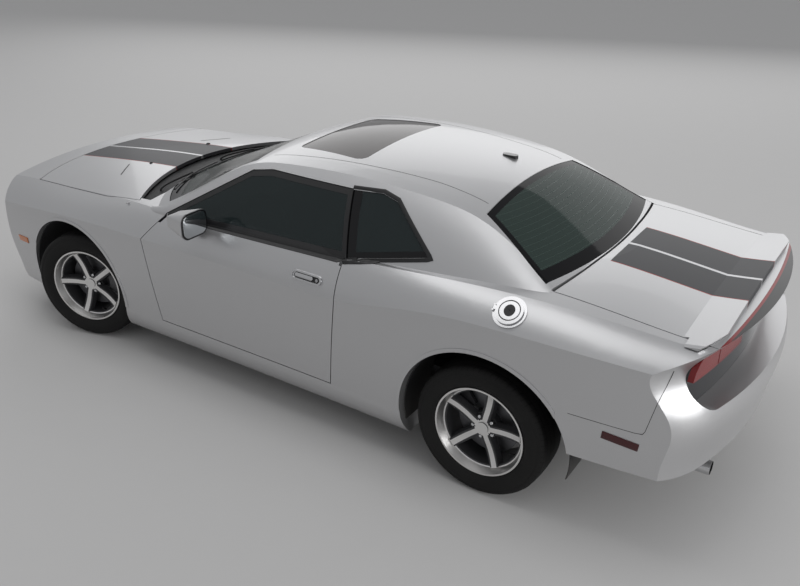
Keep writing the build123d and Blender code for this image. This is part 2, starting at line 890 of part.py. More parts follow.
# Doors, each with its window frame, slots and bores for the hinges, and a rounded front corner
frame_outer = cabin_loft(frame_depth)
frame_inner = cabin_loft(frame_depth + frame_thickness)
with BuildPart() as frame_shell:
    add(frame_outer)
    add(frame_inner, mode=Mode.SUBTRACT)
window_opening = side_block(glass_outline, 0, outside_y, grow=-frame_width)
with BuildPart() as door_frame:
    add(frame_shell.part)
    add(side_block(window_outline, 0, outside_y), mode=Mode.INTERSECT)
    add(window_opening, mode=Mode.SUBTRACT)
with BuildPart() as door_skin:
    add(side_block(door_outline, door_step_y, outside_y))
    add(side_block(door_outline, door_inner_y, door_step_y, grow=-door_step))
    add(lower_form.part, mode=Mode.INTERSECT)
door_swing_radius = door_hinge_y - hinge_post_y - panel_gap
with BuildPart() as door_corner:
    add(box_between(door_hinge_x, half_length, 0, door_hinge_y, 0, above_z))
    with BuildSketch(Plane.XY):
        with Locations((door_hinge_x, door_hinge_y)):
            Circle(door_swing_radius)
    extrude(amount=above_z, mode=Mode.SUBTRACT)
with BuildPart() as door:
    add(door_skin.part)
    add(door_frame.part)
    add(door_corner.part, mode=Mode.SUBTRACT)
    for z in door_hinge_heights:
        add(box_between(door_hinge_x - door_leaf_width / 2 - panel_gap, half_length, 0,
                        door_hinge_y + door_pin_radius + panel_gap / 2,
                        z - door_leaf_thickness / 2 - panel_gap / 2,
                        z + door_leaf_thickness / 2 + panel_gap / 2), mode=Mode.SUBTRACT)
        with BuildSketch(Plane.XY.offset(z - door_pin_length / 2 - pin_clearance)):
            with Locations((door_hinge_x, door_hinge_y)):
                Circle(door_pin_radius + pin_clearance)
        extrude(amount=door_pin_length + 2 * pin_clearance, mode=Mode.SUBTRACT)
export_pair(door.part, "door")
with BuildPart() as door_glass:
    add(glass_shell.part)
    add(side_block(glass_outline, 0, outside_y, grow=-frame_width - seat_gap), mode=Mode.INTERSECT)
export_pair(door_glass.part, "door_glass")

# Hood, with bores for its pins
with BuildPart() as hood:
    add(lower_form.part)
    add(lower_form.part.moved(Location((0, 0, -hood_thickness))), mode=Mode.SUBTRACT)
    add(box_between(0, half_length, -half_width, half_width, hood_cut_z, above_z),
        mode=Mode.INTERSECT)
    add(hood_block, mode=Mode.INTERSECT)
    with BuildSketch(Plane.XZ):
        with Locations((hood_hinge_x, hood_pin_z)):
            Circle(lid_pin_radius + pin_clearance)
    extrude(amount=half_width, both=True, mode=Mode.SUBTRACT)
export(hood.part, "hood")


def racetrack(half_wide, low_z, high_z, radius, x_low, x_high):
    """A long opening with round ends, seen from the front."""
    corners = [(half_wide, low_z), (half_wide, high_z), (-half_wide, high_z), (-half_wide, low_z)]
    return front_block(corners, x_low, x_high, radius)


def end_slab(centre_x, side_x, side_y, far_x):
    """A block beyond a bowed wall at one end of the car, a little wider than the recess."""
    wide_y = side_y + panel_gap
    with BuildPart() as slab:
        with BuildSketch(Plane.XY):
            with BuildLine():
                ThreePointArc((side_x, -wide_y), (centre_x, 0), (side_x, wide_y))
                Polyline((side_x, wide_y), (far_x, wide_y), (far_x, -wide_y), (side_x, -wide_y))
            make_face()
        extrude(amount=above_z)
    return slab.part


tail_far_x = -half_length - cut_over
nose_far_x = half_length + cut_over
tail_track = racetrack(recess_half_width, recess_low_z, recess_high_z, recess_radius,
                       tail_far_x, tail_wall_x)
mouth_track = racetrack(mouth_half_width, mouth_low_z, mouth_high_z, mouth_radius,
                        nose_wall_x, nose_far_x)
intake_track = racetrack(intake_half_width, intake_low_z, intake_high_z, intake_radius,
                         nose_wall_x, nose_far_x)

# Deck lid, with bores for its pins
with BuildPart() as deck_lid:
    add(lower_form.part)
    add(lower_form.part.moved(Location((0, 0, -top_wall))), mode=Mode.SUBTRACT)
    add(box_between(-half_length, 0, -half_width, half_width, tail_joint_mid_z, above_z),
        mode=Mode.INTERSECT)
    add(deck_block, mode=Mode.INTERSECT)
    add(tail_track, mode=Mode.SUBTRACT)
    with BuildSketch(Plane.XZ):
        with Locations((deck_hinge_x, deck_pin_z)):
            Circle(lid_pin_radius + pin_clearance)
    extrude(amount=half_width, both=True, mode=Mode.SUBTRACT)
export(deck_lid.part, "deck_lid")

# Spoiler: the deck's own surface turned up about the spoiler's front edge
spoiler_z = overall_height * section_at(spoiler_front_x)[6]
spoiler_axis = Axis((spoiler_front_x, 0, spoiler_z), (0, 1, 0))
with BuildPart() as spoiler_end_clearance:
    add(lower_form.part.moved(Location((0, 0, panel_gap))))
    add(box_between(tail_far_x, 0, deck_half_width - panel_gap, outside_y, 0, above_z),
        mode=Mode.INTERSECT)
with BuildPart() as spoiler:
    add(lower_form.part.rotate(spoiler_axis, spoiler_angle))
    add(box_between(spoiler_rear_x, spoiler_front_x, -spoiler_half_width, spoiler_half_width,
                    recess_high_z, above_z), mode=Mode.INTERSECT)
    add(lower_form.part.moved(Location((0, 0, spoiler_height))), mode=Mode.INTERSECT)
    add(lower_form.part.moved(Location((0, 0, seat_gap))), mode=Mode.SUBTRACT)
    add(spoiler_end_clearance.part, mode=Mode.SUBTRACT)
    add(mirror(spoiler_end_clearance.part, about=Plane.XZ, mode=Mode.PRIVATE), mode=Mode.SUBTRACT)
export(spoiler.part, "spoiler")

# Tail: bumper and surround, dark panel and lamps
with BuildPart() as deck_rear_hole:
    add(deck_hole)
    add(box_between(tail_far_x, 0, -outside_y, outside_y, recess_high_z - cut_over, above_z),
        mode=Mode.INTERSECT)
wrap_rear_x = tail_joint_low_x / 2 + rear_axle_x / 2
with BuildPart() as rear_fascia:
    add(lower_form.part)
    add(lower_hollow.part, mode=Mode.SUBTRACT)
    add(box_between(tail_far_x, wrap_rear_x, -outside_y, outside_y, tail_bottom_z, above_z),
        mode=Mode.INTERSECT)
    add(side_block(body_side_outline, -outside_y, outside_y), mode=Mode.SUBTRACT)
    add(tail_track - end_slab(recess_back_x, recess_side_back_x, recess_half_width, 0),
        mode=Mode.SUBTRACT)
    add(deck_rear_hole.part, mode=Mode.SUBTRACT)
    for side in (rear_hole, mirror(rear_hole, about=Plane.XZ, mode=Mode.PRIVATE)):
        add(side, mode=Mode.SUBTRACT)
export(rear_fascia.part, "rear_fascia")


def bowed_layer(track_block, centre_x, side_x, side_y, start, thickness, outward):
    """A layer of a recess's back, from a start depth off the bowed wall."""
    low = start * outward
    high = (start + thickness) * outward
    far_x = (half_length + cut_over) * outward
    with BuildPart() as layer:
        add(track_block)
        add(end_slab(centre_x + low, side_x + low, side_y, far_x), mode=Mode.INTERSECT)
        add(end_slab(centre_x + high, side_x + high, side_y, far_x), mode=Mode.SUBTRACT)
    return layer.part


panel_track = racetrack(recess_half_width - seat_gap, recess_low_z + seat_gap, recess_high_z - hinge_gap,
                        recess_radius, tail_far_x, tail_wall_x)
tail_panel = bowed_layer(panel_track, recess_back_x, recess_side_back_x, recess_half_width,
                         seat_gap, tail_panel_thickness, -1)
export(tail_panel, "tail_panel")
lamp_layer = bowed_layer(panel_track, recess_back_x, recess_side_back_x, recess_half_width,
                         2 * seat_gap + tail_panel_thickness, tail_lamp_depth, -1)
with BuildPart() as tail_lamps:
    for low_y, high_y in ((tail_lamp_inner_y, tail_lamp_split_y),
                          (tail_lamp_split_y + tail_lamp_gap, recess_half_width)):
        for side in (1, -1):
            ends = sorted((side * low_y, side * high_y))
            add(lamp_layer & box_between(tail_far_x, 0, ends[0], ends[1], tail_lamp_low_z, above_z))
export(tail_lamps.part, "tail_lamps")

# Nose: bumper and surround, grille and four round lamps
wrap_front_x = front_axle_x + front_arch_radius / 2
with BuildPart() as front_fascia:
    add(lower_form.part)
    add(lower_hollow.part, mode=Mode.SUBTRACT)
    add(box_between(wrap_front_x, nose_far_x, -outside_y, outside_y, nose_bottom_z, above_z),
        mode=Mode.INTERSECT)
    add(box_between(wrap_front_x - cut_over, nose_joint_x, -outside_y, outside_y, nose_wrap_z, above_z),
        mode=Mode.SUBTRACT)
    add(mouth_track & end_slab(mouth_back_x, mouth_side_back_x, mouth_half_width, nose_far_x),
        mode=Mode.SUBTRACT)
    add(intake_track & end_slab(intake_back_x, intake_side_back_x, intake_half_width, nose_far_x),
        mode=Mode.SUBTRACT)
    add(hood_hole, mode=Mode.SUBTRACT)
    for side in (front_hole, mirror(front_hole, about=Plane.XZ, mode=Mode.PRIVATE)):
        add(side, mode=Mode.SUBTRACT)
export(front_fascia.part, "front_fascia")
grille_plate = bowed_layer(racetrack(mouth_half_width - seat_gap, mouth_low_z + seat_gap,
                                     mouth_high_z - seat_gap, mouth_radius, nose_wall_x, nose_far_x),
                           mouth_back_x, mouth_side_back_x, mouth_half_width, seat_gap, plate_thickness, 1)
intake_plate = bowed_layer(racetrack(intake_half_width - seat_gap, intake_low_z + seat_gap,
                                      intake_high_z - seat_gap, intake_radius, nose_wall_x, nose_far_x),
                           intake_back_x, intake_side_back_x, intake_half_width, seat_gap, plate_thickness, 1)
bar_space = (mouth_high_z - mouth_low_z) / (grille_bar_count + 1)
bar_layer = bowed_layer(box_between(nose_wall_x, nose_far_x, -grille_half_width, grille_half_width,
                                    mouth_low_z + bar_space / 2, mouth_high_z - bar_space / 2),
                        mouth_back_x, mouth_side_back_x, mouth_half_width,
                        seat_gap + plate_thickness, grille_depth, 1)
with BuildPart() as grille:
    add(grille_plate)
    add(intake_plate)
    for n in range(grille_bar_count):
        bar_z = mouth_low_z + bar_space * (n + 1)
        add(bar_layer & box_between(nose_wall_x, nose_far_x, -grille_half_width, grille_half_width,
                                    bar_z - grille_bar_thickness / 2, bar_z + grille_bar_thickness / 2))
    for side in (1, 0, -1):
        post_y = side * (grille_half_width - grille_bar_thickness / 2)
        add(bar_layer & box_between(nose_wall_x, nose_far_x, post_y - grille_bar_thickness / 2,
                                    post_y + grille_bar_thickness / 2, mouth_low_z, mouth_high_z))
export(grille.part, "grille")
lamp_slab = bowed_layer(mouth_track, mouth_back_x, mouth_side_back_x, mouth_half_width,
                        2 * seat_gap + plate_thickness, headlamp_depth, 1)
with BuildPart() as headlamps:
    with BuildSketch(Plane.YZ.offset(nose_wall_x)):
        with Locations((headlamp_inner_y, headlamp_z), (headlamp_outer_y, headlamp_z),
                       (-headlamp_inner_y, headlamp_z), (-headlamp_outer_y, headlamp_z)):
            Circle(headlamp_radius)
    extrude(amount=half_length - nose_wall_x)
    add(lamp_slab, mode=Mode.INTERSECT)
export(headlamps.part, "headlamps")

# Floor pan with its tunnel, and the trunk floor behind it
with BuildPart() as floor_pan:
    add(box_between(kick_x, firewall_x, -floor_half_width, floor_half_width,
                    body_bottom_z, body_bottom_z + floor_thickness))
    add(box_between(kick_x, kick_x + floor_thickness, -rear_liner_y, rear_liner_y,
                    body_bottom_z, trunk_floor_z + floor_thickness))
    add(box_between(tail_wall_x + panel_gap, kick_x + floor_thickness, -rear_liner_y, rear_liner_y,
                    trunk_floor_z, trunk_floor_z + floor_thickness))
    add(box_between(kick_x, firewall_x, -tunnel_half_width, tunnel_half_width,
                    body_bottom_z, tunnel_top_z))
    add(box_between(kick_x, half_length, -tunnel_half_width + tunnel_wall, tunnel_half_width - tunnel_wall,
                    0, tunnel_top_z - tunnel_wall), mode=Mode.SUBTRACT)
export(floor_pan.part, "floor_pan")


def arch_liner(x, radius, inner_y):
    """An open half-round liner over one wheel."""
    with BuildPart() as liner:
        add(arch_cylinder(x, radius + liner_wall, inner_y, liner_outer_y))
        add(arch_cylinder(x, radius, 0, outside_y), mode=Mode.SUBTRACT)
        add(box_between(-half_length, half_length, 0, outside_y, -rear_arch_radius, liner_bottom_z),
            mode=Mode.SUBTRACT)
    return liner.part


with BuildPart() as left_liners:
    add(arch_liner(front_axle_x, front_arch_radius, front_liner_y))
    add(arch_liner(rear_arch_x, rear_arch_radius, rear_liner_y + seat_gap))
with BuildPart() as arch_liners:
    add(left_liners.part)
    mirror(about=Plane.XZ)
export(arch_liners.part, "arch_liners")

# Wheel and tyre, in the wheel's own frame with +Z pointing out of the car
with BuildPart() as tyre_form:
    with BuildSketch(Plane.XZ):
        with BuildLine():
            side = tyre_width / 2
            bead = (bead_radius + seat_gap, rim_half_width - tyre_bead_inset)
            flange_top = (rim_radius + seat_gap, bead[1])
            bulge = (tyre_bulge_radius, side)
            shoulder = (tyre_shoulder_radius, side - tyre_shoulder_inset)
            edge = (tyre_radius - tyre_crown, side - tyre_edge_inset)
            Polyline((bead[0], -bead[1]), (bead[0], -bead_seat_z), (barrel_radius + seat_gap, -well_half_width),
                     (barrel_radius + seat_gap, well_half_width), (bead[0], bead_seat_z), bead, flange_top)
            ThreePointArc(flange_top, bulge, shoulder)
            ThreePointArc(shoulder, ((shoulder[0] + edge[0]) / 2 + tyre_crown,
                                     (shoulder[1] + edge[1]) / 2 + tyre_crown), edge)
            ThreePointArc(edge, (tyre_radius, 0), (edge[0], -edge[1]))
            ThreePointArc((edge[0], -edge[1]), ((shoulder[0] + edge[0]) / 2 + tyre_crown,
                                                -(shoulder[1] + edge[1]) / 2 - tyre_crown),
                          (shoulder[0], -shoulder[1]))
            ThreePointArc((shoulder[0], -shoulder[1]), (bulge[0], -bulge[1]), (flange_top[0], -flange_top[1]))
            Line((flange_top[0], -flange_top[1]), (bead[0], -bead[1]))
        make_face()
    revolve(axis=Axis.Z)

barrel_inner = barrel_radius - barrel_wall
with BuildPart() as barrel:
    with BuildSketch(Plane.XZ):
        with BuildLine():
            flange = rim_half_width - tyre_bead_inset + seat_gap
            Polyline((barrel_inner, -rim_half_width), (rim_radius, -rim_half_width),
                     (rim_radius, -flange), (bead_radius, -flange), (bead_radius, -bead_seat_z),
                     (barrel_radius, -well_half_width), (barrel_radius, well_half_width),
                     (bead_radius, bead_seat_z), (bead_radius, flange), (rim_radius, flange),
                     (rim_radius, rim_half_width), (lip_edge_radius, rim_half_width),
                     (lip_radius, rim_half_width - lip_depth),
                     (barrel_inner, rim_half_width - lip_depth - barrel_wall), close=True)
        make_face()
    revolve(axis=Axis.Z)
with BuildPart() as dish:
    with BuildSketch(Plane.XZ):
        with BuildLine():
            Line((0, hub_face - spoke_depth), (0, hub_face))
            Line((0, hub_face), (hub_radius, hub_face))
            SagittaArc((hub_radius, hub_face), (spoke_tip_radius, hub_face + spoke_face_rise), -dish_sag)
            Line((spoke_tip_radius, hub_face + spoke_face_rise),
                 (spoke_tip_radius, hub_face + spoke_face_rise - spoke_depth))
            Line((spoke_tip_radius, hub_face + spoke_face_rise - spoke_depth), (0, hub_face - spoke_depth))
        make_face()
    revolve(axis=Axis.Z)
with BuildPart() as spoke:
    with BuildSketch(Plane.XY.offset(hub_face + spoke_face_rise)):
        Polygon((0, -spoke_root_width / 2), (spoke_tip_radius + lip_depth, -spoke_tip_width / 2),
                (spoke_tip_radius + lip_depth, spoke_tip_width / 2), (0, spoke_root_width / 2), align=None)
    extrude(amount=-spoke_depth - spoke_face_rise, taper=-spoke_draft)
with BuildPart() as spokes:
    with PolarLocations(0, spoke_count):
        add(spoke.part)
    add(dish.part, mode=Mode.INTERSECT)
with BuildPart() as rim_form:
    add(barrel.part)
    add(spokes.part)
    with BuildSketch(Plane.XY.offset(hub_back)):
        Circle(hub_radius)
    extrude(amount=hub_face - spoke_depth / 2 - hub_back)
    with BuildSketch(Plane.XY.offset(disc_front - disc_thickness)):
        Circle(disc_radius)
    extrude(amount=disc_thickness)
    with BuildSketch(Plane.XY.offset(hub_face - spoke_depth / 2)):
        with PolarLocations(nut_circle_radius, spoke_count, start_angle=180 / spoke_count):
            Circle(nut_radius)
    extrude(amount=nut_length)
    with BuildSketch(Plane.XY.offset(hub_face)):
        Circle(cap_radius)
    extrude(amount=cap_depth)
    with BuildSketch(Plane.XY.offset(hub_back)):
        Circle(spindle_radius + pin_clearance)
    extrude(amount=spindle_tip - hub_back + pin_clearance, mode=Mode.SUBTRACT)

# Front knuckle with its caliper, in the wheel's own frame
with BuildPart() as caliper:
    with BuildSketch(Plane.XY.offset(caliper_back)):
        Circle(caliper_outer_radius)
        Circle(caliper_inner_radius, mode=Mode.SUBTRACT)
        with BuildLine():
            Polyline((0, 0), (-2 * tyre_radius, -2 * tyre_radius * sin(radians(caliper_angle / 2))),
                     (-2 * tyre_radius, 2 * tyre_radius * sin(radians(caliper_angle / 2))), close=True)
        make_face(mode=Mode.INTERSECT)
    extrude(amount=caliper_front - caliper_back)
    with BuildSketch(Plane.XY.offset(disc_front - disc_thickness - caliper_gap)):
        Circle(disc_radius + caliper_gap)
    extrude(amount=disc_thickness + 2 * caliper_gap, mode=Mode.SUBTRACT)


def upright(low, high, caliper_turn):
    """A plate that carries one wheel on a spindle, with the brake caliper."""
    bracket_length = caliper_inner_radius + bracket_width / 2
    with BuildPart() as bracket:
        with BuildSketch(Plane.XY.offset(knuckle_back)):
            with Locations((-bracket_length / 2, 0)):
                Rectangle(bracket_length, bracket_width)
        extrude(amount=knuckle_thickness)
        add(caliper.part)
    with BuildPart() as plate:
        with BuildSketch(Plane.XY.offset(knuckle_back)):
            with Locations((0, (low - high) / 2)):
                Rectangle(2 * knuckle_half_width, low + high)
        extrude(amount=knuckle_thickness)
        with BuildSketch(Plane.XY.offset(knuckle_back)):
            Circle(spindle_radius)
        extrude(amount=spindle_tip - knuckle_back)
        add(bracket.part.rotate(Axis.Z, caliper_turn))
    return plate.part


def at_wheel(part, x, turn=0):
    """A part moved from the wheel's own frame to the left wheel at a place along the car."""
    frame = Plane(origin=(x, wheel_y, tyre_radius), x_dir=(1, 0, 0), z_dir=(0, 1, 0))
    return part.rotate(Axis.Z, turn).moved(frame.location)


knuckle_back = knuckle_inner_y - wheel_y
front_upright = upright(tyre_radius - arm_low_z - arm_thickness - seat_gap,
                        upper_arm_z - tyre_radius - seat_gap, 0)
rear_upright = upright(tyre_radius - rear_frame_low_z, tyre_radius - rear_frame_low_z, rear_caliper_turn)
left_kingpin = Axis((front_axle_x, kingpin_y, 0), (0, 0, 1))
right_kingpin = Axis((front_axle_x, -kingpin_y, 0), (0, 0, 1))
for name, part, turned in (("knuckle", front_upright, 0), ("rim", rim_form.part, front_parked_turn),
                           ("tyre", tyre_form.part, 0)):
    straight = at_wheel(part, front_axle_x, turned)
    side_name = {"knuckle": ("_left", "_right")}.get(name, ("_front_left", "_front_right"))
    export(straight.rotate(left_kingpin, steer_angle), name + side_name[0])
    export(mirror(straight, about=Plane.XZ).rotate(right_kingpin, steer_angle), name + side_name[1])
for name, part, turned in (("rim", rim_form.part, rear_parked_turn), ("tyre", tyre_form.part, 0)):
    export_pair(at_wheel(part, rear_axle_x, turned), name + "_rear")

# Front crossmember with its arms and struts, and the radiator's support
strut_top_z = tyre_radius + (front_arch_radius ** 2 - strut_radius ** 2) ** (1 / 2) - seat_gap
with BuildPart() as front_left_arms:
    add(box_between(front_axle_x - arm_half_width, front_axle_x + arm_half_width, subframe_half_width,
                    kingpin_y, arm_low_z, arm_low_z + arm_thickness))
    add(box_between(front_axle_x - arm_half_width, front_axle_x + arm_half_width, strut_y,
                    kingpin_y, upper_arm_z, upper_arm_z + arm_thickness))
    for z in (arm_low_z, upper_arm_z):
        with BuildSketch(Plane.XY.offset(z)):
            with Locations((front_axle_x, kingpin_y)):
                Circle(arm_half_width)
        extrude(amount=arm_thickness)
    with BuildSketch(Plane.XY.offset(arm_low_z)):
        with Locations((front_axle_x, strut_y)):
            Circle(strut_radius)
    extrude(amount=strut_top_z - arm_low_z)
    add(box_between(subframe_front_x, radiator_front_x, radiator_half_width - strut_radius,
                    radiator_half_width, subframe_low_z + floor_thickness, subframe_high_z))
    add(box_between(subframe_front_x - strut_radius, subframe_front_x, subframe_half_width - strut_radius,
                    radiator_half_width, subframe_low_z + floor_thickness, subframe_high_z))
with BuildPart() as front_subframe:
    add(box_between(subframe_rear_x, subframe_front_x, -subframe_half_width, subframe_half_width,
                    subframe_low_z, subframe_high_z))
    add(front_left_arms.part)
    mirror(front_left_arms.part, about=Plane.XZ)
    add(box_between(radiator_front_x - radiator_thickness, radiator_front_x, -radiator_half_width,
                    radiator_half_width, subframe_low_z + floor_thickness, radiator_high_z))
export(front_subframe.part, "front_subframe")

# Rear crossmember with the final drive, arms and wheel carriers
with BuildPart() as rear_left_arm:
    add(box_between(rear_axle_x - arm_half_width, rear_axle_x + arm_half_width, rear_frame_half_width,
                    knuckle_inner_y + knuckle_thickness / 2, rear_frame_low_z,
                    rear_frame_low_z + arm_thickness))
    add(at_wheel(rear_upright, rear_axle_x))
    with BuildSketch(Plane.XZ):
        with Locations((rear_axle_x, tyre_radius)):
            Circle(axle_shaft_radius)
    extrude(amount=-knuckle_inner_y)
with BuildPart() as rear_subframe:
    add(box_between(rear_frame_rear_x, rear_frame_front_x, -rear_frame_half_width, rear_frame_half_width,
                    rear_frame_low_z, rear_frame_high_z))
    with BuildSketch(Plane.XY.offset(rear_frame_high_z)):
        with Locations(((rear_frame_rear_x + rear_frame_front_x) / 2, 0)):
            with GridLocations(rear_frame_front_x - rear_frame_rear_x - 2 * frame_mount_radius,
                               2 * (rear_frame_half_width - frame_mount_radius), 2, 2):
                Circle(frame_mount_radius)
    extrude(amount=trunk_floor_z - rear_frame_high_z)
    add(rear_left_arm.part)
    mirror(rear_left_arm.part, about=Plane.XZ)
    with BuildSketch(Plane.XZ):
        with Locations((rear_axle_x, shaft_z)):
            Circle(diff_radius)
    extrude(amount=diff_radius, both=True)
export(rear_subframe.part, "rear_subframe")

# Engine as one plain block, with the gearbox and the shaft to the rear axle
with BuildPart() as powertrain:
    add(box_between(gearbox_front_x, engine_front_x, -engine_half_width, engine_half_width,
                    subframe_high_z, engine_high_z))
    add(box_between(gearbox_rear_x, gearbox_front_x, -gearbox_half_width, gearbox_half_width,
                    subframe_high_z, gearbox_high_z))
    with BuildSketch(Plane.YZ.offset(rear_axle_x + diff_radius)):
        with Locations((0, shaft_z)):
            Circle(shaft_radius)
    extrude(amount=gearbox_rear_x - rear_axle_x - diff_radius)
    add(rear_subframe.part, mode=Mode.SUBTRACT)
export(powertrain.part, "powertrain")

# Exhaust, from the engine to the two outlets
with BuildPart() as exhaust_left:
    with BuildLine() as pipe_line:
        Polyline((pipe_front_x, pipe_y, pipe_z), (pipe_turn_x, pipe_y, pipe_z),
                 (muffler_front_x, muffler_y, (muffler_low_z + muffler_high_z) / 2),
                 (muffler_front_x - muffler_half_width, muffler_y, (muffler_low_z + muffler_high_z) / 2))
    with BuildSketch(Plane.YZ.offset(pipe_front_x)):
        with Locations((pipe_y, pipe_z)):
            Circle(pipe_radius)
    sweep(path=pipe_line.wires()[0], transition=Transition.ROUND)
    add(box_between(pipe_front_x - pipe_radius, pipe_front_x + pipe_radius, pipe_y - pipe_radius,
                    pipe_y + pipe_radius, pipe_z, engine_low_z))
    add(box_between(muffler_rear_x, muffler_front_x, muffler_y - muffler_half_width,
                    muffler_y + muffler_half_width, muffler_low_z, muffler_high_z))
    with BuildSketch(Plane.YZ.offset(tail_pipe_x)):
        with Locations((tail_pipe_y - tail_pipe_radius, (muffler_low_z + muffler_high_z) / 2)):
            Circle(tail_pipe_radius)
    extrude(amount=muffler_rear_x - tail_pipe_x)
    with BuildSketch(Plane.YZ.offset(tail_pipe_x)):
        with Locations((tail_pipe_y - tail_pipe_radius, (muffler_low_z + muffler_high_z) / 2)):
            Circle(tail_pipe_radius - tail_pipe_wall)
    extrude(amount=muffler_rear_x - tail_pipe_x - tail_pipe_radius, mode=Mode.SUBTRACT)
with BuildPart() as exhaust:
    add(exhaust_left.part)
    mirror(about=Plane.XZ)
export(exhaust.part, "exhaust")

# Fuel tank, a saddle over the shaft
with BuildPart() as fuel_tank:
    add(box_between(tank_rear_x, tank_front_x, -tank_half_width, tank_half_width, tank_low_z, trunk_floor_z))
    add(box_between(-half_length, half_length, -tank_channel_half_width, tank_channel_half_width,
                    0, tank_saddle_z), mode=Mode.SUBTRACT)
export(fuel_tank.part, "fuel_tank")

# Dashboard with the console
with BuildPart() as dashboard:
    add(box_between(dash_rear_x, dash_front_x, -dash_half_width, dash_half_width, dash_low_z, dash_top_z))
    add(box_between(dash_rear_x, dash_front_x, -dash_top_half_width, dash_top_half_width,
                    dash_top_z, dash_high_z))
    add(box_between(console_rear_x, dash_front_x, -console_half_width, console_half_width,
                    tunnel_top_z, console_high_z))
export(dashboard.part, "dashboard")

# Steering wheel on its column
with BuildPart() as steering_wheel:
    with BuildSketch(Plane.XZ):
        with Locations((wheel_rim_radius, 0)):
            Circle(wheel_tube_radius)
    revolve(axis=Axis.Z)
    with BuildSketch(Plane.XY.offset(-wheel_hub_depth)):
        Circle(wheel_hub_radius)
    extrude(amount=wheel_hub_depth)
    with BuildSketch(Plane.XY.offset(-wheel_tube_radius)):
        Rectangle(2 * wheel_rim_radius, wheel_spoke_width)
        with Locations((0, -wheel_rim_radius / 2)):
            Rectangle(wheel_spoke_width, wheel_rim_radius)
    extrude(amount=wheel_tube_radius)
    with BuildSketch(Plane.XY.offset(-column_length)):
        Circle(column_radius)
    extrude(amount=column_length - wheel_hub_depth)
wheel_frame = Plane(origin=(wheel_centre_x, driver_y, wheel_centre_z), x_dir=(0, -1, 0),
                    z_dir=(-cos(radians(wheel_tilt)), 0, sin(radians(wheel_tilt))))
with BuildPart() as placed_wheel:
    add(steering_wheel.part.moved(wheel_frame.location))
    add(dashboard.part, mode=Mode.SUBTRACT)
export(placed_wheel.part, "steering_wheel")

# Seats, drawn in side view
hip_front_x = seat_hip_x + seat_thickness
floor_z = body_bottom_z + floor_thickness
front_seat_outline = [(seat_front_x - seat_thickness / 2, floor_z),
                      (seat_front_x, seat_cushion_z - seat_thickness), (seat_front_x, seat_cushion_z),
                      (hip_front_x, seat_cushion_z - seat_thickness / 2),
                      (hip_front_x - seat_back_rake, seat_back_top_z),
                      (seat_hip_x - seat_back_rake, seat_back_top_z),
                      (seat_hip_x, seat_cushion_z - seat_thickness), (seat_hip_x + seat_thickness / 2, floor_z)]
headrest_outline = [(hip_front_x - seat_back_rake - seat_thickness / 4, seat_back_top_z),
                    (hip_front_x - seat_back_rake - seat_thickness / 4, seat_back_top_z + headrest_height),
                    (seat_hip_x - seat_back_rake, seat_back_top_z + headrest_height),
                    (seat_hip_x - seat_back_rake, seat_back_top_z)]
tunnel_space = box_between(kick_x, firewall_x, -tunnel_half_width, tunnel_half_width, 0, tunnel_top_z)
with BuildPart() as front_seats:
    add(side_block(front_seat_outline, driver_y - seat_half_width, driver_y + seat_half_width))
    add(side_block(headrest_outline, driver_y - headrest_half_width, driver_y + headrest_half_width))
    add(tunnel_space, mode=Mode.SUBTRACT)
    mirror(about=Plane.XZ)
export(front_seats.part, "front_seats")
trunk_floor_top_z = trunk_floor_z + floor_thickness
rear_seat_outline = [(kick_x + floor_thickness, floor_z), (rear_seat_front_x, floor_z),
                     (rear_seat_front_x, seat_cushion_z),
                     (rear_seat_back_x + seat_thickness, seat_cushion_z - seat_thickness / 4),
                     (rear_seat_back_x, rear_seat_top_z),
                     (rear_seat_back_x - rear_seat_thickness / 2, rear_seat_top_z),
                     (rear_seat_back_x - rear_seat_thickness / 2, trunk_floor_top_z),
                     (kick_x + floor_thickness, trunk_floor_top_z)]
with BuildPart() as rear_seat:
    add(side_block(rear_seat_outline, -rear_seat_half_width, rear_seat_half_width))
    add(tunnel_space, mode=Mode.SUBTRACT)
export(rear_seat.part, "rear_seat")

# Shelf behind the rear seat, as wide as the body's inside
with BuildPart() as parcel_shelf:
    add(lower_hollow.part)
    add(box_between(shelf_rear_x, shelf_front_x, -outside_y, outside_y, shelf_z, shelf_z + shelf_thickness),
        mode=Mode.INTERSECT)
export(parcel_shelf.part, "parcel_shelf")

# Door mirrors and handles
with BuildPart() as door_mirror:
    with BuildSketch(Plane.YZ.offset(mirror_x - mirror_length / 2)):
        with Locations((mirror_y, mirror_z)):
            RectangleRounded(mirror_width, mirror_height, mirror_radius)
    extrude(amount=mirror_length, taper=mirror_draft)
    add(box_between(mirror_foot_x - mirror_foot_width / 2, mirror_foot_x + mirror_foot_width / 2, 0,
                    mirror_y - mirror_width / 4,
                    mirror_foot_low_z, mirror_foot_high_z))
    add(lower_form.part, mode=Mode.SUBTRACT)
    add(cabin_form, mode=Mode.SUBTRACT)
export_pair(door_mirror.part, "mirror")
with BuildPart() as door_handle:
    add(lower_form.part.moved(Location((0, handle_proud, 0))))
    with BuildSketch(Plane.XZ.offset(-outside_y)):
        with Locations((handle_x, handle_z)):
            SlotOverall(handle_length, handle_height)
    extrude(amount=outside_y - door_inner_y, mode=Mode.INTERSECT)
    add(lower_form.part, mode=Mode.SUBTRACT)
export_pair(door_handle.part, "door_handle")

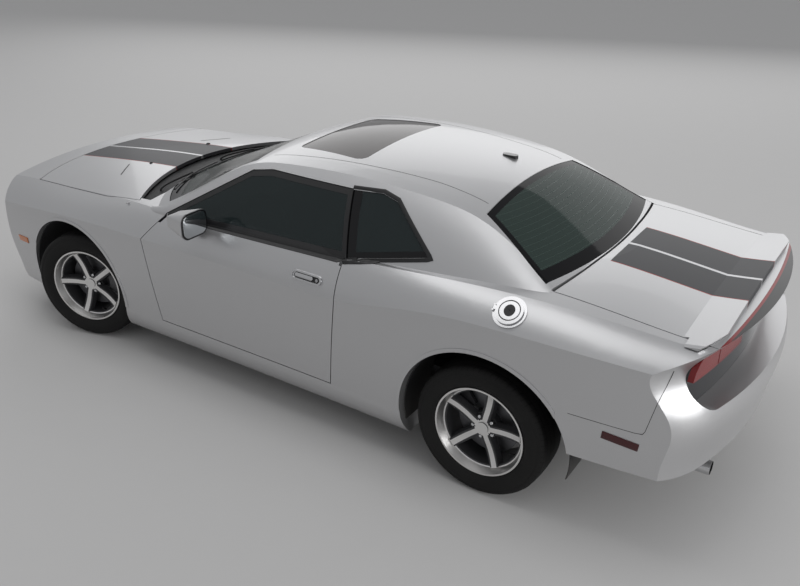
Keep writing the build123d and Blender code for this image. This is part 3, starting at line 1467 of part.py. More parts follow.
# Fuel filler ring with its hinged flap, on the left shoulder
share = section_at(filler_x)
chord_y = half_width * (share[2] - share[4])
chord_z = overall_height * (share[5] - share[3])
chord = (chord_y ** 2 + chord_z ** 2) ** (1 / 2)
normal_y = chord_z / chord
normal_z = chord_y / chord
filler_frame = Plane(origin=(filler_x, half_width * (share[2] + share[4]) / 2 + side_bulge * normal_y,
                             overall_height * (share[3] + share[5]) / 2 + side_bulge * normal_z),
                     x_dir=(1, 0, 0), z_dir=(0, normal_y, normal_z))
flap_low = filler_ring_height + seat_gap
flap_axis_height = flap_low + flap_height / 2
ear_y = flap_tab_half_width + ear_thickness / 2 + seat_gap
with BuildPart() as ring_form:
    with BuildSketch(Plane.XY.offset(-filler_radius / 2)):
        Circle(filler_radius)
    extrude(amount=filler_radius / 2 + filler_ring_height)
    with BuildSketch(Plane.XY):
        with Locations((flap_hinge_offset, ear_y), (flap_hinge_offset, -ear_y)):
            Rectangle(flap_height, ear_thickness)
    extrude(amount=flap_low + flap_height)
    with BuildSketch(Plane.XZ):
        with Locations((flap_hinge_offset, flap_axis_height)):
            Circle(flap_pin_radius)
    extrude(amount=ear_y, both=True)
with BuildPart() as fuel_filler:
    add(ring_form.part.moved(filler_frame.location))
    add(lower_form.part, mode=Mode.SUBTRACT)
export(fuel_filler.part, "fuel_filler")
with BuildPart() as flap_form:
    with BuildSketch(Plane.XY.offset(flap_low)):
        Circle(flap_radius)
        with Locations((flap_hinge_offset / 2, 0)):
            Rectangle(flap_hinge_offset, 2 * flap_tab_half_width)
    extrude(amount=flap_height)
    with BuildSketch(Plane.XZ):
        with Locations((flap_hinge_offset, flap_axis_height)):
            Circle(flap_height / 2)
    extrude(amount=flap_tab_half_width, both=True)
    with BuildSketch(Plane.XZ):
        with Locations((flap_hinge_offset, flap_axis_height)):
            Circle(flap_pin_radius + flap_clearance)
    extrude(amount=flap_tab_half_width, both=True, mode=Mode.SUBTRACT)
export(flap_form.part.moved(filler_frame.location), "fuel_door")

# Aerial on the roof
with BuildPart() as aerial:
    with BuildSketch(Plane.XY.offset(window_top_z)):
        with Locations((aerial_x, aerial_y)):
            SlotOverall(aerial_length, aerial_width)
    extrude(amount=aerial_top_z - window_top_z)
    add(cabin_form, mode=Mode.SUBTRACT)
export(aerial.part, "aerial")
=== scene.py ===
import math

import bpy
from mathutils import Matrix, Vector


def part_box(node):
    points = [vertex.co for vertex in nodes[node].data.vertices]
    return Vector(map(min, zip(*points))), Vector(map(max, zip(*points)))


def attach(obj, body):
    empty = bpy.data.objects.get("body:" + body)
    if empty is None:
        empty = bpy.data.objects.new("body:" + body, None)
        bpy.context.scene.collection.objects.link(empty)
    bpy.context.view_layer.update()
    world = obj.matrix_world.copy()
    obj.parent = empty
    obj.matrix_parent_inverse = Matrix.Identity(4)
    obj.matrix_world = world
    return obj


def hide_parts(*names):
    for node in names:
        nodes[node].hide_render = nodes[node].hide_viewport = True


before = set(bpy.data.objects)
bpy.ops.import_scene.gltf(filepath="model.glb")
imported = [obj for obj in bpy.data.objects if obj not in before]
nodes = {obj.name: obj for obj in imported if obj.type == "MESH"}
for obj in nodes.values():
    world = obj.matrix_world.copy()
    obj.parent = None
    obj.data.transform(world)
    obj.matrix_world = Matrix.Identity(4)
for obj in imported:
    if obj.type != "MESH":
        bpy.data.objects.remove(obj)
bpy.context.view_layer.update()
print("frame loaded:", len(nodes), "nodes")

# Camera, at the photograph's viewing angle
camera = {
    "place": (-2.9665, 4.0783, 2.8598),
    "azimuth": -57.098,
    "down": 26.310,
    "roll": 0.655,
    "lens": 39.32,
    "sensor": 36.0,
}


def makeCamera(setup):
    turn, down, roll = (math.radians(setup[k]) for k in ("azimuth", "down", "roll"))
    ahead = Vector((math.cos(down) * math.cos(turn), math.cos(down) * math.sin(turn), -math.sin(down)))
    right = ahead.cross(Vector((0, 0, 1))).normalized()
    up = right.cross(ahead)
    right, up = (right * math.cos(roll) + up * math.sin(roll), up * math.cos(roll) - right * math.sin(roll))
    data = bpy.data.cameras.new("photoCamera")
    data.lens, data.sensor_width = setup["lens"], setup["sensor"]
    seen = bpy.data.objects.new("photoCamera", data)
    bpy.context.scene.collection.objects.link(seen)
    axes = Matrix((right, up, -ahead)).transposed().to_4x4()
    seen.matrix_world = Matrix.Translation(Vector(setup["place"])) @ axes
    bpy.context.scene.camera = seen


makeCamera(camera)
bpy.context.scene.view_settings.view_transform = "Standard"
print("camera set")

# Node groups: effects that several materials share


def startGroup(name, inputs, outputs):
    group = bpy.data.node_groups.new(name, "ShaderNodeTree")
    for label, kind, value in inputs:
        socket = group.interface.new_socket(label, in_out="INPUT", socket_type=kind)
        if value is not None:
            socket.default_value = value
    for label, kind in outputs:
        group.interface.new_socket(label, in_out="OUTPUT", socket_type=kind)
    return group, group.nodes.new("NodeGroupInput"), group.nodes.new("NodeGroupOutput")


def feed(tree, value, socket):
    if isinstance(value, bpy.types.NodeSocket):
        tree.links.new(value, socket)
    elif value is not None:
        socket.default_value = value


def mathNode(tree, operation, first, second=None, clamp=False):
    node = tree.nodes.new("ShaderNodeMath")
    node.operation = operation
    node.use_clamp = clamp
    feed(tree, first, node.inputs[0])
    feed(tree, second, node.inputs[1])
    return node.outputs[0]


def times(tree, first, second, clamp=False):
    return mathNode(tree, "MULTIPLY", first, second, clamp)


def plus(tree, first, second, clamp=False):
    return mathNode(tree, "ADD", first, second, clamp)


def minus(tree, first, second, clamp=False):
    return mathNode(tree, "SUBTRACT", first, second, clamp)


def isOver(tree, first, second):
    return mathNode(tree, "GREATER_THAN", first, second)


def isUnder(tree, first, second):
    return mathNode(tree, "LESS_THAN", first, second)


def sizeOf(tree, value):
    return mathNode(tree, "ABSOLUTE", value)


def isNear(tree, value, place, reach):
    return isUnder(tree, sizeOf(tree, minus(tree, value, place)), reach)


def slope(tree, value, start, rise, level):
    return plus(tree, times(tree, minus(tree, value, start), rise), level)


def vectorNode(tree, operation, first, second=None):
    node = tree.nodes.new("ShaderNodeVectorMath")
    node.operation = operation
    feed(tree, first, node.inputs[0])
    feed(tree, second, node.inputs[1])
    return node.outputs["Value"] if operation in ("LENGTH", "DOT_PRODUCT") else node.outputs[0]


def mixColour(tree, mask, first, second):
    node = tree.nodes.new("ShaderNodeMix")
    node.data_type = "RGBA"
    feed(tree, mask, node.inputs[0])
    for value, socket in ((first, node.inputs[6]), (second, node.inputs[7])):
        feed(tree, (*value, 1) if isinstance(value, tuple) else value, socket)
    return node.outputs[2]


def mixNumber(tree, mask, first, second):
    node = tree.nodes.new("ShaderNodeMix")
    node.data_type = "FLOAT"
    for value, socket in ((mask, node.inputs[0]), (first, node.inputs[2]), (second, node.inputs[3])):
        feed(tree, value, socket)
    return node.outputs[0]


def splitVector(tree, vector):
    node = tree.nodes.new("ShaderNodeSeparateXYZ")
    tree.links.new(vector, node.inputs[0])
    return node.outputs


def noiseAt(tree, vector, scale, detail):
    node = tree.nodes.new("ShaderNodeTexNoise")
    node.inputs["Detail"].default_value = detail
    tree.links.new(vector, node.inputs["Vector"])
    feed(tree, scale, node.inputs["Scale"])
    return node.outputs[0]


cloudScale, groundBlendScale = 5.0, 14.0


def makeGrainGroup():
    group, given, put = startGroup(
        "surfaceGrain",
        [("Vector", "NodeSocketVector", None), ("Scale", "NodeSocketFloat", 400.0),
         ("Rough", "NodeSocketFloat", 0.5), ("Spread", "NodeSocketFloat", 0.1)],
        [("Roughness", "NodeSocketFloat"), ("Height", "NodeSocketFloat"), ("Cloud", "NodeSocketFloat")])
    fine = noiseAt(group, given.outputs["Vector"], given.outputs["Scale"], 3.0)
    wide = noiseAt(group, given.outputs["Vector"], cloudScale, 3.0)
    centred = minus(group, fine, 0.5)
    spread = times(group, centred, given.outputs["Spread"])
    group.links.new(plus(group, spread, given.outputs["Rough"], clamp=True), put.inputs["Roughness"])
    group.links.new(fine, put.inputs["Height"])
    group.links.new(wide, put.inputs["Cloud"])
    return group


# Blends towards another colour in patches, more strongly towards the bottom
def makeGroundBlendGroup():
    group, given, put = startGroup(
        "groundBlend",
        [("Vector", "NodeSocketVector", None), ("Top", "NodeSocketFloat", 0.42),
         ("Amount", "NodeSocketFloat", 0.3)],
        [("Mask", "NodeSocketFloat")])
    height = splitVector(group, given.outputs["Vector"])["Z"]
    low = minus(group, 1.0, mathNode(group, "DIVIDE", height, given.outputs["Top"]), clamp=True)
    cloud = noiseAt(group, given.outputs["Vector"], groundBlendScale, 4.0)
    mask = times(group, times(group, low, cloud), given.outputs["Amount"], clamp=True)
    group.links.new(mask, put.inputs["Mask"])
    return group


def makeWheelGroup():
    group, given, put = startGroup(
        "wheelPlace",
        [("Vector", "NodeSocketVector", None), ("Normal", "NodeSocketVector", None),
         ("Centre", "NodeSocketVector", None), ("Axis", "NodeSocketVector", None)],
        [("Radius", "NodeSocketFloat"), ("Depth", "NodeSocketFloat"),
         ("Facing", "NodeSocketFloat"), ("Turn", "NodeSocketFloat")])
    off = vectorNode(group, "SUBTRACT", given.outputs["Vector"], given.outputs["Centre"])
    depth = vectorNode(group, "DOT_PRODUCT", off, given.outputs["Axis"])
    along = group.nodes.new("ShaderNodeVectorMath")
    along.operation = "SCALE"
    group.links.new(given.outputs["Axis"], along.inputs[0])
    group.links.new(depth, along.inputs["Scale"])
    flat = vectorNode(group, "SUBTRACT", off, along.outputs[0])
    radius = vectorNode(group, "LENGTH", flat)
    side = vectorNode(group, "CROSS_PRODUCT", given.outputs["Axis"], (0, 0, 1))
    level = vectorNode(group, "DOT_PRODUCT", flat, side)
    turn = mathNode(group, "ARCTAN2", splitVector(group, flat)["Z"], level)
    facing = vectorNode(group, "DOT_PRODUCT", given.outputs["Normal"], given.outputs["Axis"])
    for label, value in (("Radius", radius), ("Depth", depth), ("Facing", facing), ("Turn", turn)):
        group.links.new(value, put.inputs[label])
    return group


grainGroup = makeGrainGroup()
groundBlendGroup = makeGroundBlendGroup()
wheelGroup = makeWheelGroup()
print("node groups made")

# Materials


def startMaterial(name):
    material = bpy.data.materials.new(name)
    material.use_nodes = True
    tree = material.node_tree
    place = tree.nodes.new("ShaderNodeTexCoord")
    return material, tree, tree.nodes["Principled BSDF"], place.outputs["Object"]


def addGroup(tree, group, values, here):
    node = tree.nodes.new("ShaderNodeGroup")
    node.node_tree = group
    for label, value in {**values, "Vector": here}.items():
        feed(tree, value, node.inputs[label])
    return node.outputs


def addGrain(tree, here, scale, rough, spread):
    return addGroup(tree, grainGroup, {"Scale": scale, "Rough": rough, "Spread": spread}, here)


def addBump(tree, shader, height, strength, distance):
    bump = tree.nodes.new("ShaderNodeBump")
    bump.inputs["Strength"].default_value = strength
    bump.inputs["Distance"].default_value = distance
    tree.links.new(height, bump.inputs["Height"])
    tree.links.new(bump.outputs[0], shader.inputs["Normal"])


dustLook = {"top": 0.45, "colour": (0.30, 0.28, 0.25)}


def plainMaterial(name, colour, rough, metallic=0.0, scale=500.0, spread=0.12, bump=0.15, lowBlend=0.0,
                  coat=0.0, sheen=0.0):
    material, tree, shader, here = startMaterial(name)
    grain = addGrain(tree, here, scale, rough, spread)
    darker = tuple(c * 0.85 for c in colour)
    base = mixColour(tree, grain["Cloud"], darker, colour)
    if lowBlend:
        mask = addGroup(tree, groundBlendGroup, {"Top": dustLook["top"], "Amount": lowBlend}, here)["Mask"]
        base = mixColour(tree, mask, base, dustLook["colour"])
    tree.links.new(base, shader.inputs["Base Color"])
    tree.links.new(grain["Roughness"], shader.inputs["Roughness"])
    shader.inputs["Metallic"].default_value = metallic
    shader.inputs["Coat Weight"].default_value = coat
    shader.inputs["Coat Roughness"].default_value = 0.08
    shader.inputs["Sheen Weight"].default_value = sheen
    if bump:
        addBump(tree, shader, grain["Height"], bump, 0.001)
    return material


paintLook = {
    "light": (0.60, 0.60, 0.605),
    "dark": (0.54, 0.54, 0.55),
    "rough": 0.36,
    "metallic": 0.84,
    "flakes": 2600.0,
    "coat": 0.35,
    # Paint turns darker and browner towards the bottom, in patches
    "lowBlend": {"Top": 0.40, "Amount": 0.22},
    "lowBlendColour": (0.33, 0.31, 0.28),
    # Black for trim, also used as painted shade behind the spoiler lip and under the rear bumper
    "trimAndShade": (0.010, 0.010, 0.011),
    "lamp": (0.24, 0.006, 0.008),
}
bandLook = {
    "colour": (0.052, 0.052, 0.056),
    "pin": (0.36, 0.035, 0.03),
    "rough": 0.42,
    "coat": 0.03,
    "specular": 0.25,
    "outer": 0.258,
    "gapHalf": 0.0105,
    "pinWidth": 0.006,
}


def makePaint(name, look, bandEnds=None, darkPart=None):
    material, tree, shader, here = startMaterial(name)
    grain = addGrain(tree, here, look["flakes"], look["rough"], 0.10)
    flakes = mixColour(tree, grain["Height"], look["dark"], look["light"])
    # Paint turns darker and browner towards the bottom, in patches
    lowBlend = addGroup(tree, groundBlendGroup, look["lowBlend"], here)["Mask"]
    base = mixColour(tree, lowBlend, flakes, look["lowBlendColour"])
    rough, metal, coat = grain["Roughness"], look["metallic"], look["coat"]
    x, y, z = splitVector(tree, here)
    if darkPart is not None:
        # The black mask is real trim in some places and painted shade in others
        dark, red = darkPart(tree, x, y, z)
        base = mixColour(tree, red, mixColour(tree, dark, base, look["trimAndShade"]), look["lamp"])
        metal = mixNumber(tree, dark, metal, 0.0)
    if bandEnds is not None:
        across, outer = sizeOf(tree, y), bandLook["outer"]
        span = times(tree, isUnder(tree, x, bandEnds[0]), isOver(tree, x, bandEnds[1]))
        inside = times(tree, isUnder(tree, across, outer), isOver(tree, across, bandLook["gapHalf"]))
        band = times(tree, inside, span)
        edge = times(tree, isOver(tree, across, outer), isUnder(tree, across, outer + bandLook["pinWidth"]))
        pin = times(tree, edge, span)
        base = mixColour(tree, band, base, bandLook["colour"])
        base = mixColour(tree, pin, base, bandLook["pin"])
        flat = plus(tree, band, pin, clamp=True)
        metal = mixNumber(tree, flat, metal, 0.0)
        rough = mixNumber(tree, flat, rough, bandLook["rough"])
        coat = mixNumber(tree, flat, coat, bandLook["coat"])
        shader.inputs["Specular IOR Level"].default_value = bandLook["specular"]
    finish = {"Base Color": base, "Roughness": rough, "Metallic": metal, "Coat Weight": coat}
    for label, value in finish.items():
        feed(tree, value, shader.inputs[label])
    shader.inputs["Coat Roughness"].default_value = 0.05
    addBump(tree, shader, grain["Height"], 0.05, 0.0004)
    return material


# Dark parts of the paint: each gives a mask for black and a mask for red. The black is real trim above the
# door belt; behind the spoiler lip and under the rear bumper it is partly real black parts and partly painted
# shade
lipLook = {"back": -2.413, "bow": 0.10, "line": 0.014, "half": 0.70}
beltLook = {"front": 0.735, "height": 1.006, "slope": -0.0278}
valanceAndShadeTop = 0.222


# Deck-lid faces behind the spoiler lip go black, partly for the black tail panel and partly as painted shade
# under the spoiler; a thin red line stands for the lamps under the lip
def behindLip(tree, x, y, z):
    edge = plus(tree, times(tree, times(tree, y, y), lipLook["bow"]), lipLook["back"])
    behind = isUnder(tree, x, edge)
    line = isOver(tree, plus(tree, x, lipLook["line"]), edge)
    inner = isUnder(tree, sizeOf(tree, y), lipLook["half"])
    return behind, times(tree, times(tree, behind, line), inner)


def aboveBelt(tree, x, y, z):
    belt = slope(tree, x, beltLook["front"], beltLook["slope"], beltLook["height"])
    return times(tree, isOver(tree, z, belt), isUnder(tree, x, beltLook["front"])), 0.0


# Rear fascia below this height goes black, partly for the dark lower valance and partly as painted shade
# under the bumper
def lowValanceAndShade(tree, x, y, z):
    return isUnder(tree, z, valanceAndShadeTop), 0.0


paint = makePaint("silverPaint", paintLook)
rearPaint = makePaint("silverPaintRear", paintLook, darkPart=lowValanceAndShade)
doorPaint = makePaint("silverPaintDoor", paintLook, darkPart=aboveBelt)
hoodPaint = makePaint("silverPaintHoodBands", paintLook, (2.6, 1.0))
deckPaint = makePaint("silverPaintDeckBands", paintLook, (-1.715, -2.36), behindLip)
spoilerPaint = makePaint("silverPaintSpoilerBands", paintLook, (-2.0, -2.6))

# Black borders of the glass, as limits in x (bowed across the car) and in half width
rearBorder = {"fore": -1.179, "foreBow": -0.0626, "aft": -1.594, "aftBow": 0.2107,
              "sideAt": -1.160, "sideSlope": -0.3966, "sideHalf": 0.481,
              "heater": 0.0155, "heaterShare": 0.10}
screenBorder = {"fore": 1.052, "foreBow": -0.59, "aft": 0.385, "aftBow": -0.20,
                "sideAt": 0.272, "sideSlope": 0.348, "sideHalf": 0.525}
quarterBorder = {"pillarAt": 1.05, "pillarSlope": 0.2905, "pillar": -0.594,
                 "baseAt": -0.534, "baseSlope": -0.2062, "base": 1.078}


def screenFrit(tree, here, look):
    x, y, z = splitVector(tree, here)
    square = times(tree, y, y)
    fore = isOver(tree, x, plus(tree, times(tree, square, look["foreBow"]), look["fore"]))
    aft = isUnder(tree, x, plus(tree, times(tree, square, look["aftBow"]), look["aft"]))
    edge = slope(tree, x, look["sideAt"], look["sideSlope"], look["sideHalf"])
    side = isOver(tree, sizeOf(tree, y), edge)
    mask = plus(tree, plus(tree, side, fore), aft, clamp=True)
    if "heater" not in look:
        return mask, None
    row = mathNode(tree, "FRACT", mathNode(tree, "DIVIDE", z, look["heater"]))
    lines = isUnder(tree, row, look["heaterShare"])
    return mask, times(tree, lines, minus(tree, 1.0, mask))


def quarterFrit(tree, here, look):
    x, y, z = splitVector(tree, here)
    pillar = isOver(tree, x, slope(tree, z, look["pillarAt"], look["pillarSlope"], look["pillar"]))
    base = isUnder(tree, z, slope(tree, x, look["baseAt"], look["baseSlope"], look["base"]))
    return mathNode(tree, "MAXIMUM", pillar, base), None


def makeGlass(name, colour, alpha, frit=None, border=None, specular=0.32):
    material, tree, shader, here = startMaterial(name)
    grain = addGrain(tree, here, 30.0, 0.05, 0.02)
    base = mixColour(tree, grain["Cloud"], colour, tuple(c * 1.15 for c in colour))
    if frit is not None:
        mask, lines = frit(tree, here, border)
        base = mixColour(tree, mask, base, (0.006, 0.006, 0.007))
        alpha = mixNumber(tree, mask, alpha, 1.0)
        if lines is not None:
            base = mixColour(tree, lines, base, tuple(c * 1.2 + 0.003 for c in colour))
            alpha = plus(tree, alpha, times(tree, lines, 0.1), clamp=True)
    feed(tree, alpha, shader.inputs["Alpha"])
    tree.links.new(base, shader.inputs["Base Color"])
    tree.links.new(grain["Roughness"], shader.inputs["Roughness"])
    shader.inputs["IOR"].default_value = 1.5
    shader.inputs["Specular IOR Level"].default_value = specular
    return material


sideGlass = makeGlass("sideGlass", (0.018, 0.026, 0.027), 0.80)
quarterGlass = makeGlass("quarterGlass", (0.018, 0.026, 0.027), 0.80, quarterFrit, quarterBorder)
rearGlass = makeGlass("rearGlass", (0.030, 0.045, 0.040), 0.90, screenFrit, rearBorder, 0.12)
screenGlass = makeGlass("screenGlass", (0.05, 0.06, 0.055), 0.55, screenFrit, screenBorder)
roofGlass = makeGlass("roofGlass", (0.042, 0.034, 0.032), 0.96)
lampGlass = makeGlass("lampGlass", (0.75, 0.78, 0.80), 0.35)

blackTrim = plainMaterial("blackTrim", (0.012, 0.012, 0.013), 0.42, scale=900.0, bump=0.2, lowBlend=0.1)
blackGloss = plainMaterial("blackGloss", (0.008, 0.008, 0.009), 0.14, scale=300.0, spread=0.05, bump=0.03,
                           coat=0.5)
cowlPlastic = plainMaterial("cowlPlastic", (0.014, 0.014, 0.015), 0.55, scale=1400.0, bump=0.35)
underPaint = plainMaterial("underPaint", (0.022, 0.022, 0.024), 0.65, scale=220.0, bump=0.5, lowBlend=0.6)
castMetal = plainMaterial("castMetal", (0.16, 0.16, 0.165), 0.55, metallic=0.8, scale=350.0, bump=0.4,
                          lowBlend=0.3)
bareSteel = plainMaterial("bareSteel", (0.50, 0.50, 0.51), 0.38, metallic=1.0, scale=260.0, lowBlend=0.15)
chrome = plainMaterial("chrome", (0.66, 0.66, 0.67), 0.12, metallic=1.0, scale=120.0, spread=0.04, bump=0.02)
rubber = plainMaterial("rubber", (0.012, 0.012, 0.012), 0.72, scale=700.0, bump=0.3)
carpet = plainMaterial("carpet", (0.020, 0.020, 0.022), 0.95, scale=1800.0, bump=0.9, sheen=0.4)
dashPlastic = plainMaterial("dashPlastic", (0.022, 0.022, 0.024), 0.60, scale=1100.0, bump=0.5)
headLining = plainMaterial("headLining", (0.20, 0.20, 0.20), 0.9, scale=900.0, bump=0.5)
lens = {"scale": 60.0, "spread": 0.04, "bump": 0.02}
redPlastic = plainMaterial("redPlastic", (0.20, 0.004, 0.006), 0.26, coat=0.15, **lens)
darkRed = plainMaterial("darkRed", (0.055, 0.002, 0.004), 0.26, coat=0.15, **lens)
amberPlastic = plainMaterial("amberPlastic", (0.60, 0.16, 0.02), 0.14, coat=0.8, **lens)
mirrorFace = plainMaterial("mirrorFace", (0.75, 0.78, 0.80), 0.03, metallic=1.0, scale=20.0, spread=0.01,
                           bump=0.0)
leatherLook = {"pores": 420.0, "rough": 0.48, "dark": (0.014, 0.014, 0.015), "light": (0.026, 0.026, 0.028)}


def makeLeather(name, look):
    material, tree, shader, here = startMaterial(name)
    cells = tree.nodes.new("ShaderNodeTexVoronoi")
    cells.inputs["Scale"].default_value = look["pores"]
    tree.links.new(here, cells.inputs["Vector"])
    grain = addGrain(tree, here, 120.0, look["rough"], 0.15)
    base = mixColour(tree, grain["Cloud"], look["dark"], look["light"])
    tree.links.new(base, shader.inputs["Base Color"])
    tree.links.new(grain["Roughness"], shader.inputs["Roughness"])
    shader.inputs["Sheen Weight"].default_value = 0.1
    addBump(tree, shader, cells.outputs["Distance"], 0.35, 0.0006)
    return material


seatLeather = makeLeather("seatLeather", leatherLook)

# Wheels: one finish for each wheel, worked out from its own centre and axis
wheelHeight, hubPlace, hubReach = 0.358, 0.725, 0.075


def wheelAt(x, side, steer, turn):
    angle = math.radians(steer)
    axis = Vector((-math.sin(angle), math.cos(angle), 0)) * side
    return {"centre": Vector((x, hubPlace * side, wheelHeight)) + axis * hubReach, "axis": axis, "turn": turn}


wheelSpots = {
    "front_left": wheelAt(1.571, 1, 16, 70),
    "front_right": wheelAt(1.571, -1, 16, 38),
    "rear_left": wheelAt(-1.375, 1, 0, 30),
    "rear_right": wheelAt(-1.375, -1, 0, 6),
}
rimLook = {
    "bright": (0.80, 0.79, 0.78),
    "pocket": (0.045, 0.045, 0.048),
    "disc": (0.20, 0.20, 0.21),
    "facing": 0.80,
    "faceDepth": 0.046,
    "spokes": 5,
    "spoke": 0.0125,
    "widening": 0.012,
    "hub": 0.045,
    "lipRadius": 0.212,
    "lipDepth": 0.062,
    "discRadius": 0.176,
    "discDepth": -0.010,
}
tyreLook = {
    "black": (0.007, 0.007, 0.0072),
    "worn": (0.014, 0.0135, 0.013),
    # Colour painted into grooves and sipes: painted shade
    "cutShade": (0.004, 0.004, 0.004),
    "treadRadius": 0.338,
    "grooves": (0.0, 0.036, 0.072),
    "grooveHalf": 0.0045,
    "blocks": 70.0,
    "slant": 9.0,
    "sipe": 0.16,
    "shoulder": 0.074,
    "rings": ((0.262, 0.0022), (0.325, 0.0018)),
}


def addWheel(tree, here, spot):
    given = {"Normal": here.node.outputs["Normal"], "Centre": spot["centre"], "Axis": spot["axis"]}
    return addGroup(tree, wheelGroup, given, here)


def anyOf(tree, masks):
    mask = masks[0]
    for other in masks[1:]:
        mask = mathNode(tree, "MAXIMUM", mask, other)
    return mask


def makeRim(name, spot, look):
    material, tree, shader, here = startMaterial(name)
    wheel = addWheel(tree, here, spot)
    radius, depth = wheel["Radius"], wheel["Depth"]
    grain = addGrain(tree, here, 60.0, 0.30, 0.05)
    sector = 2 * math.pi / look["spokes"]
    share = mathNode(tree, "DIVIDE", minus(tree, wheel["Turn"], math.radians(spot["turn"])), sector)
    off = minus(tree, mathNode(tree, "FRACT", plus(tree, share, 10.5)), 0.5)
    # How far a point lies from the middle line of the nearest spoke
    across = times(tree, mathNode(tree, "SINE", times(tree, off, sector)), radius)
    wide = plus(tree, times(tree, radius, look["widening"]), look["spoke"])
    blade = anyOf(tree, [isUnder(tree, sizeOf(tree, across), wide), isUnder(tree, radius, look["hub"])])
    outer = times(tree, isOver(tree, wheel["Facing"], look["facing"]), isOver(tree, depth, look["faceDepth"]))
    lip = times(tree, isOver(tree, radius, look["lipRadius"]), isOver(tree, depth, look["lipDepth"]))
    bright = plus(tree, times(tree, outer, blade), lip, clamp=True)
    disc = times(tree, isUnder(tree, depth, look["discDepth"]), isUnder(tree, radius, look["discRadius"]))
    base = mixColour(tree, bright, look["pocket"], look["bright"])
    base = mixColour(tree, disc, base, look["disc"])
    tree.links.new(base, shader.inputs["Base Color"])
    metal = plus(tree, plus(tree, bright, disc), 0.25, clamp=True)
    tree.links.new(metal, shader.inputs["Metallic"])
    tree.links.new(mixNumber(tree, bright, 0.50, grain["Roughness"]), shader.inputs["Roughness"])
    return material


def makeTyre(name, spot, look):
    material, tree, shader, here = startMaterial(name)
    wheel = addWheel(tree, here, spot)
    across = sizeOf(tree, wheel["Depth"])
    tread = isOver(tree, wheel["Radius"], look["treadRadius"])
    groove = anyOf(tree, [isNear(tree, across, place, look["grooveHalf"]) for place in look["grooves"]])
    turns = times(tree, wheel["Turn"], look["blocks"] / (2 * math.pi))
    slanted = plus(tree, turns, times(tree, across, look["slant"]))
    sipe = isUnder(tree, mathNode(tree, "FRACT", slanted), look["sipe"])
    edge = times(tree, sipe, isOver(tree, across, look["shoulder"]))
    cuts = times(tree, anyOf(tree, [groove, edge]), tread)
    rings = anyOf(tree, [isNear(tree, wheel["Radius"], place, half) for place, half in look["rings"]])
    grain = addGrain(tree, here, 260.0, 0.70, 0.16)
    height = minus(tree, times(tree, rings, 0.5), cuts)
    height = plus(tree, height, times(tree, grain["Height"], 0.08))
    base = mixColour(tree, grain["Cloud"], look["black"], look["worn"])
    # Grooves and sipes painted darker than the rubber: painted shade
    base = mixColour(tree, cuts, base, look["cutShade"])
    tree.links.new(base, shader.inputs["Base Color"])
    tree.links.new(grain["Roughness"], shader.inputs["Roughness"])
    shader.inputs["Specular IOR Level"].default_value = 0.25
    addBump(tree, shader, height, 0.8, 0.004)
    return material


def setMaterial(name, *materials):
    slots = nodes[name].data.materials
    slots.clear()
    for material in materials:
        slots.append(material)


def cornerName(kind, corner):
    return kind + corner.title().replace("_", "")


for corner, spot in wheelSpots.items():
    setMaterial("rim_" + corner, makeRim(cornerName("rim", corner), spot, rimLook))
    setMaterial("tyre_" + corner, makeTyre(cornerName("tyre", corner), spot, tyreLook))
print("materials made")

finishes = {
    paint: ["body_side_left", "body_side_right", "fender_left", "fender_right", "rockers", "roof",
            "front_fascia", "mirror_left", "mirror_right"],
    rearPaint: ["rear_fascia"],
    hoodPaint: ["hood"],
    deckPaint: ["deck_lid"],
    spoilerPaint: ["spoiler"],
    sideGlass: ["door_glass_left", "door_glass_right"],
    quarterGlass: ["quarter_glass"],
    rearGlass: ["rear_screen"],
    screenGlass: ["windscreen"],
    roofGlass: ["sunroof_glass"],
    lampGlass: ["headlamps"],
    redPlastic: ["tail_lamps"],
    blackGloss: ["tail_panel", "aerial"],
    blackTrim: ["grille"],
    cowlPlastic: ["cowl_and_firewall"],
    underPaint: ["floor_pan", "arch_liners", "front_subframe", "rear_subframe", "fuel_tank"],
    castMetal: ["powertrain", "knuckle_left", "knuckle_right"],
    bareSteel: ["exhaust"],
    chrome: ["door_handle_left", "door_handle_right", "fuel_filler", "fuel_door"],
    dashPlastic: ["dashboard", "steering_wheel", "parcel_shelf"],
    seatLeather: ["front_seats", "rear_seat"],
}
for material, names in finishes.items():
    for name in names:
        setMaterial(name, material)

# Window frames are black above the belt
frameBase = 1.075
for name in ("door_left", "door_right"):
    setMaterial(name, doorPaint, blackTrim)
    mesh = nodes[name].data
    for face in mesh.polygons:
        top = max(mesh.vertices[v].co.z for v in face.vertices)
        face.material_index = 1 if top > frameBase else 0
print("finishes given")

# Floor, backdrop and lights
studio = {
    "floor": (0.60, 0.595, 0.59),
    "size": 60.0,
    "sky": 0.42,
    "backdrop": 0.88,
    "skyColour": (0.97, 0.98, 1.0, 1),
    "lamps": {
        "top": {"place": (2.3, 1.0, 7.0), "aim": (2.3, 1.0, 0), "size": (9.0, 3.5), "power": 120.0},
        "far": {"place": (3.5, -9.0, 5.0), "aim": (0, 0, 0.8), "size": (16.0, 6.0), "power": 290.0},
        "rear": {"place": (-9.0, 1.0, 3.0), "aim": (-2, 0, 0.8), "size": (6.0, 3.0), "power": 260.0},
    },
}


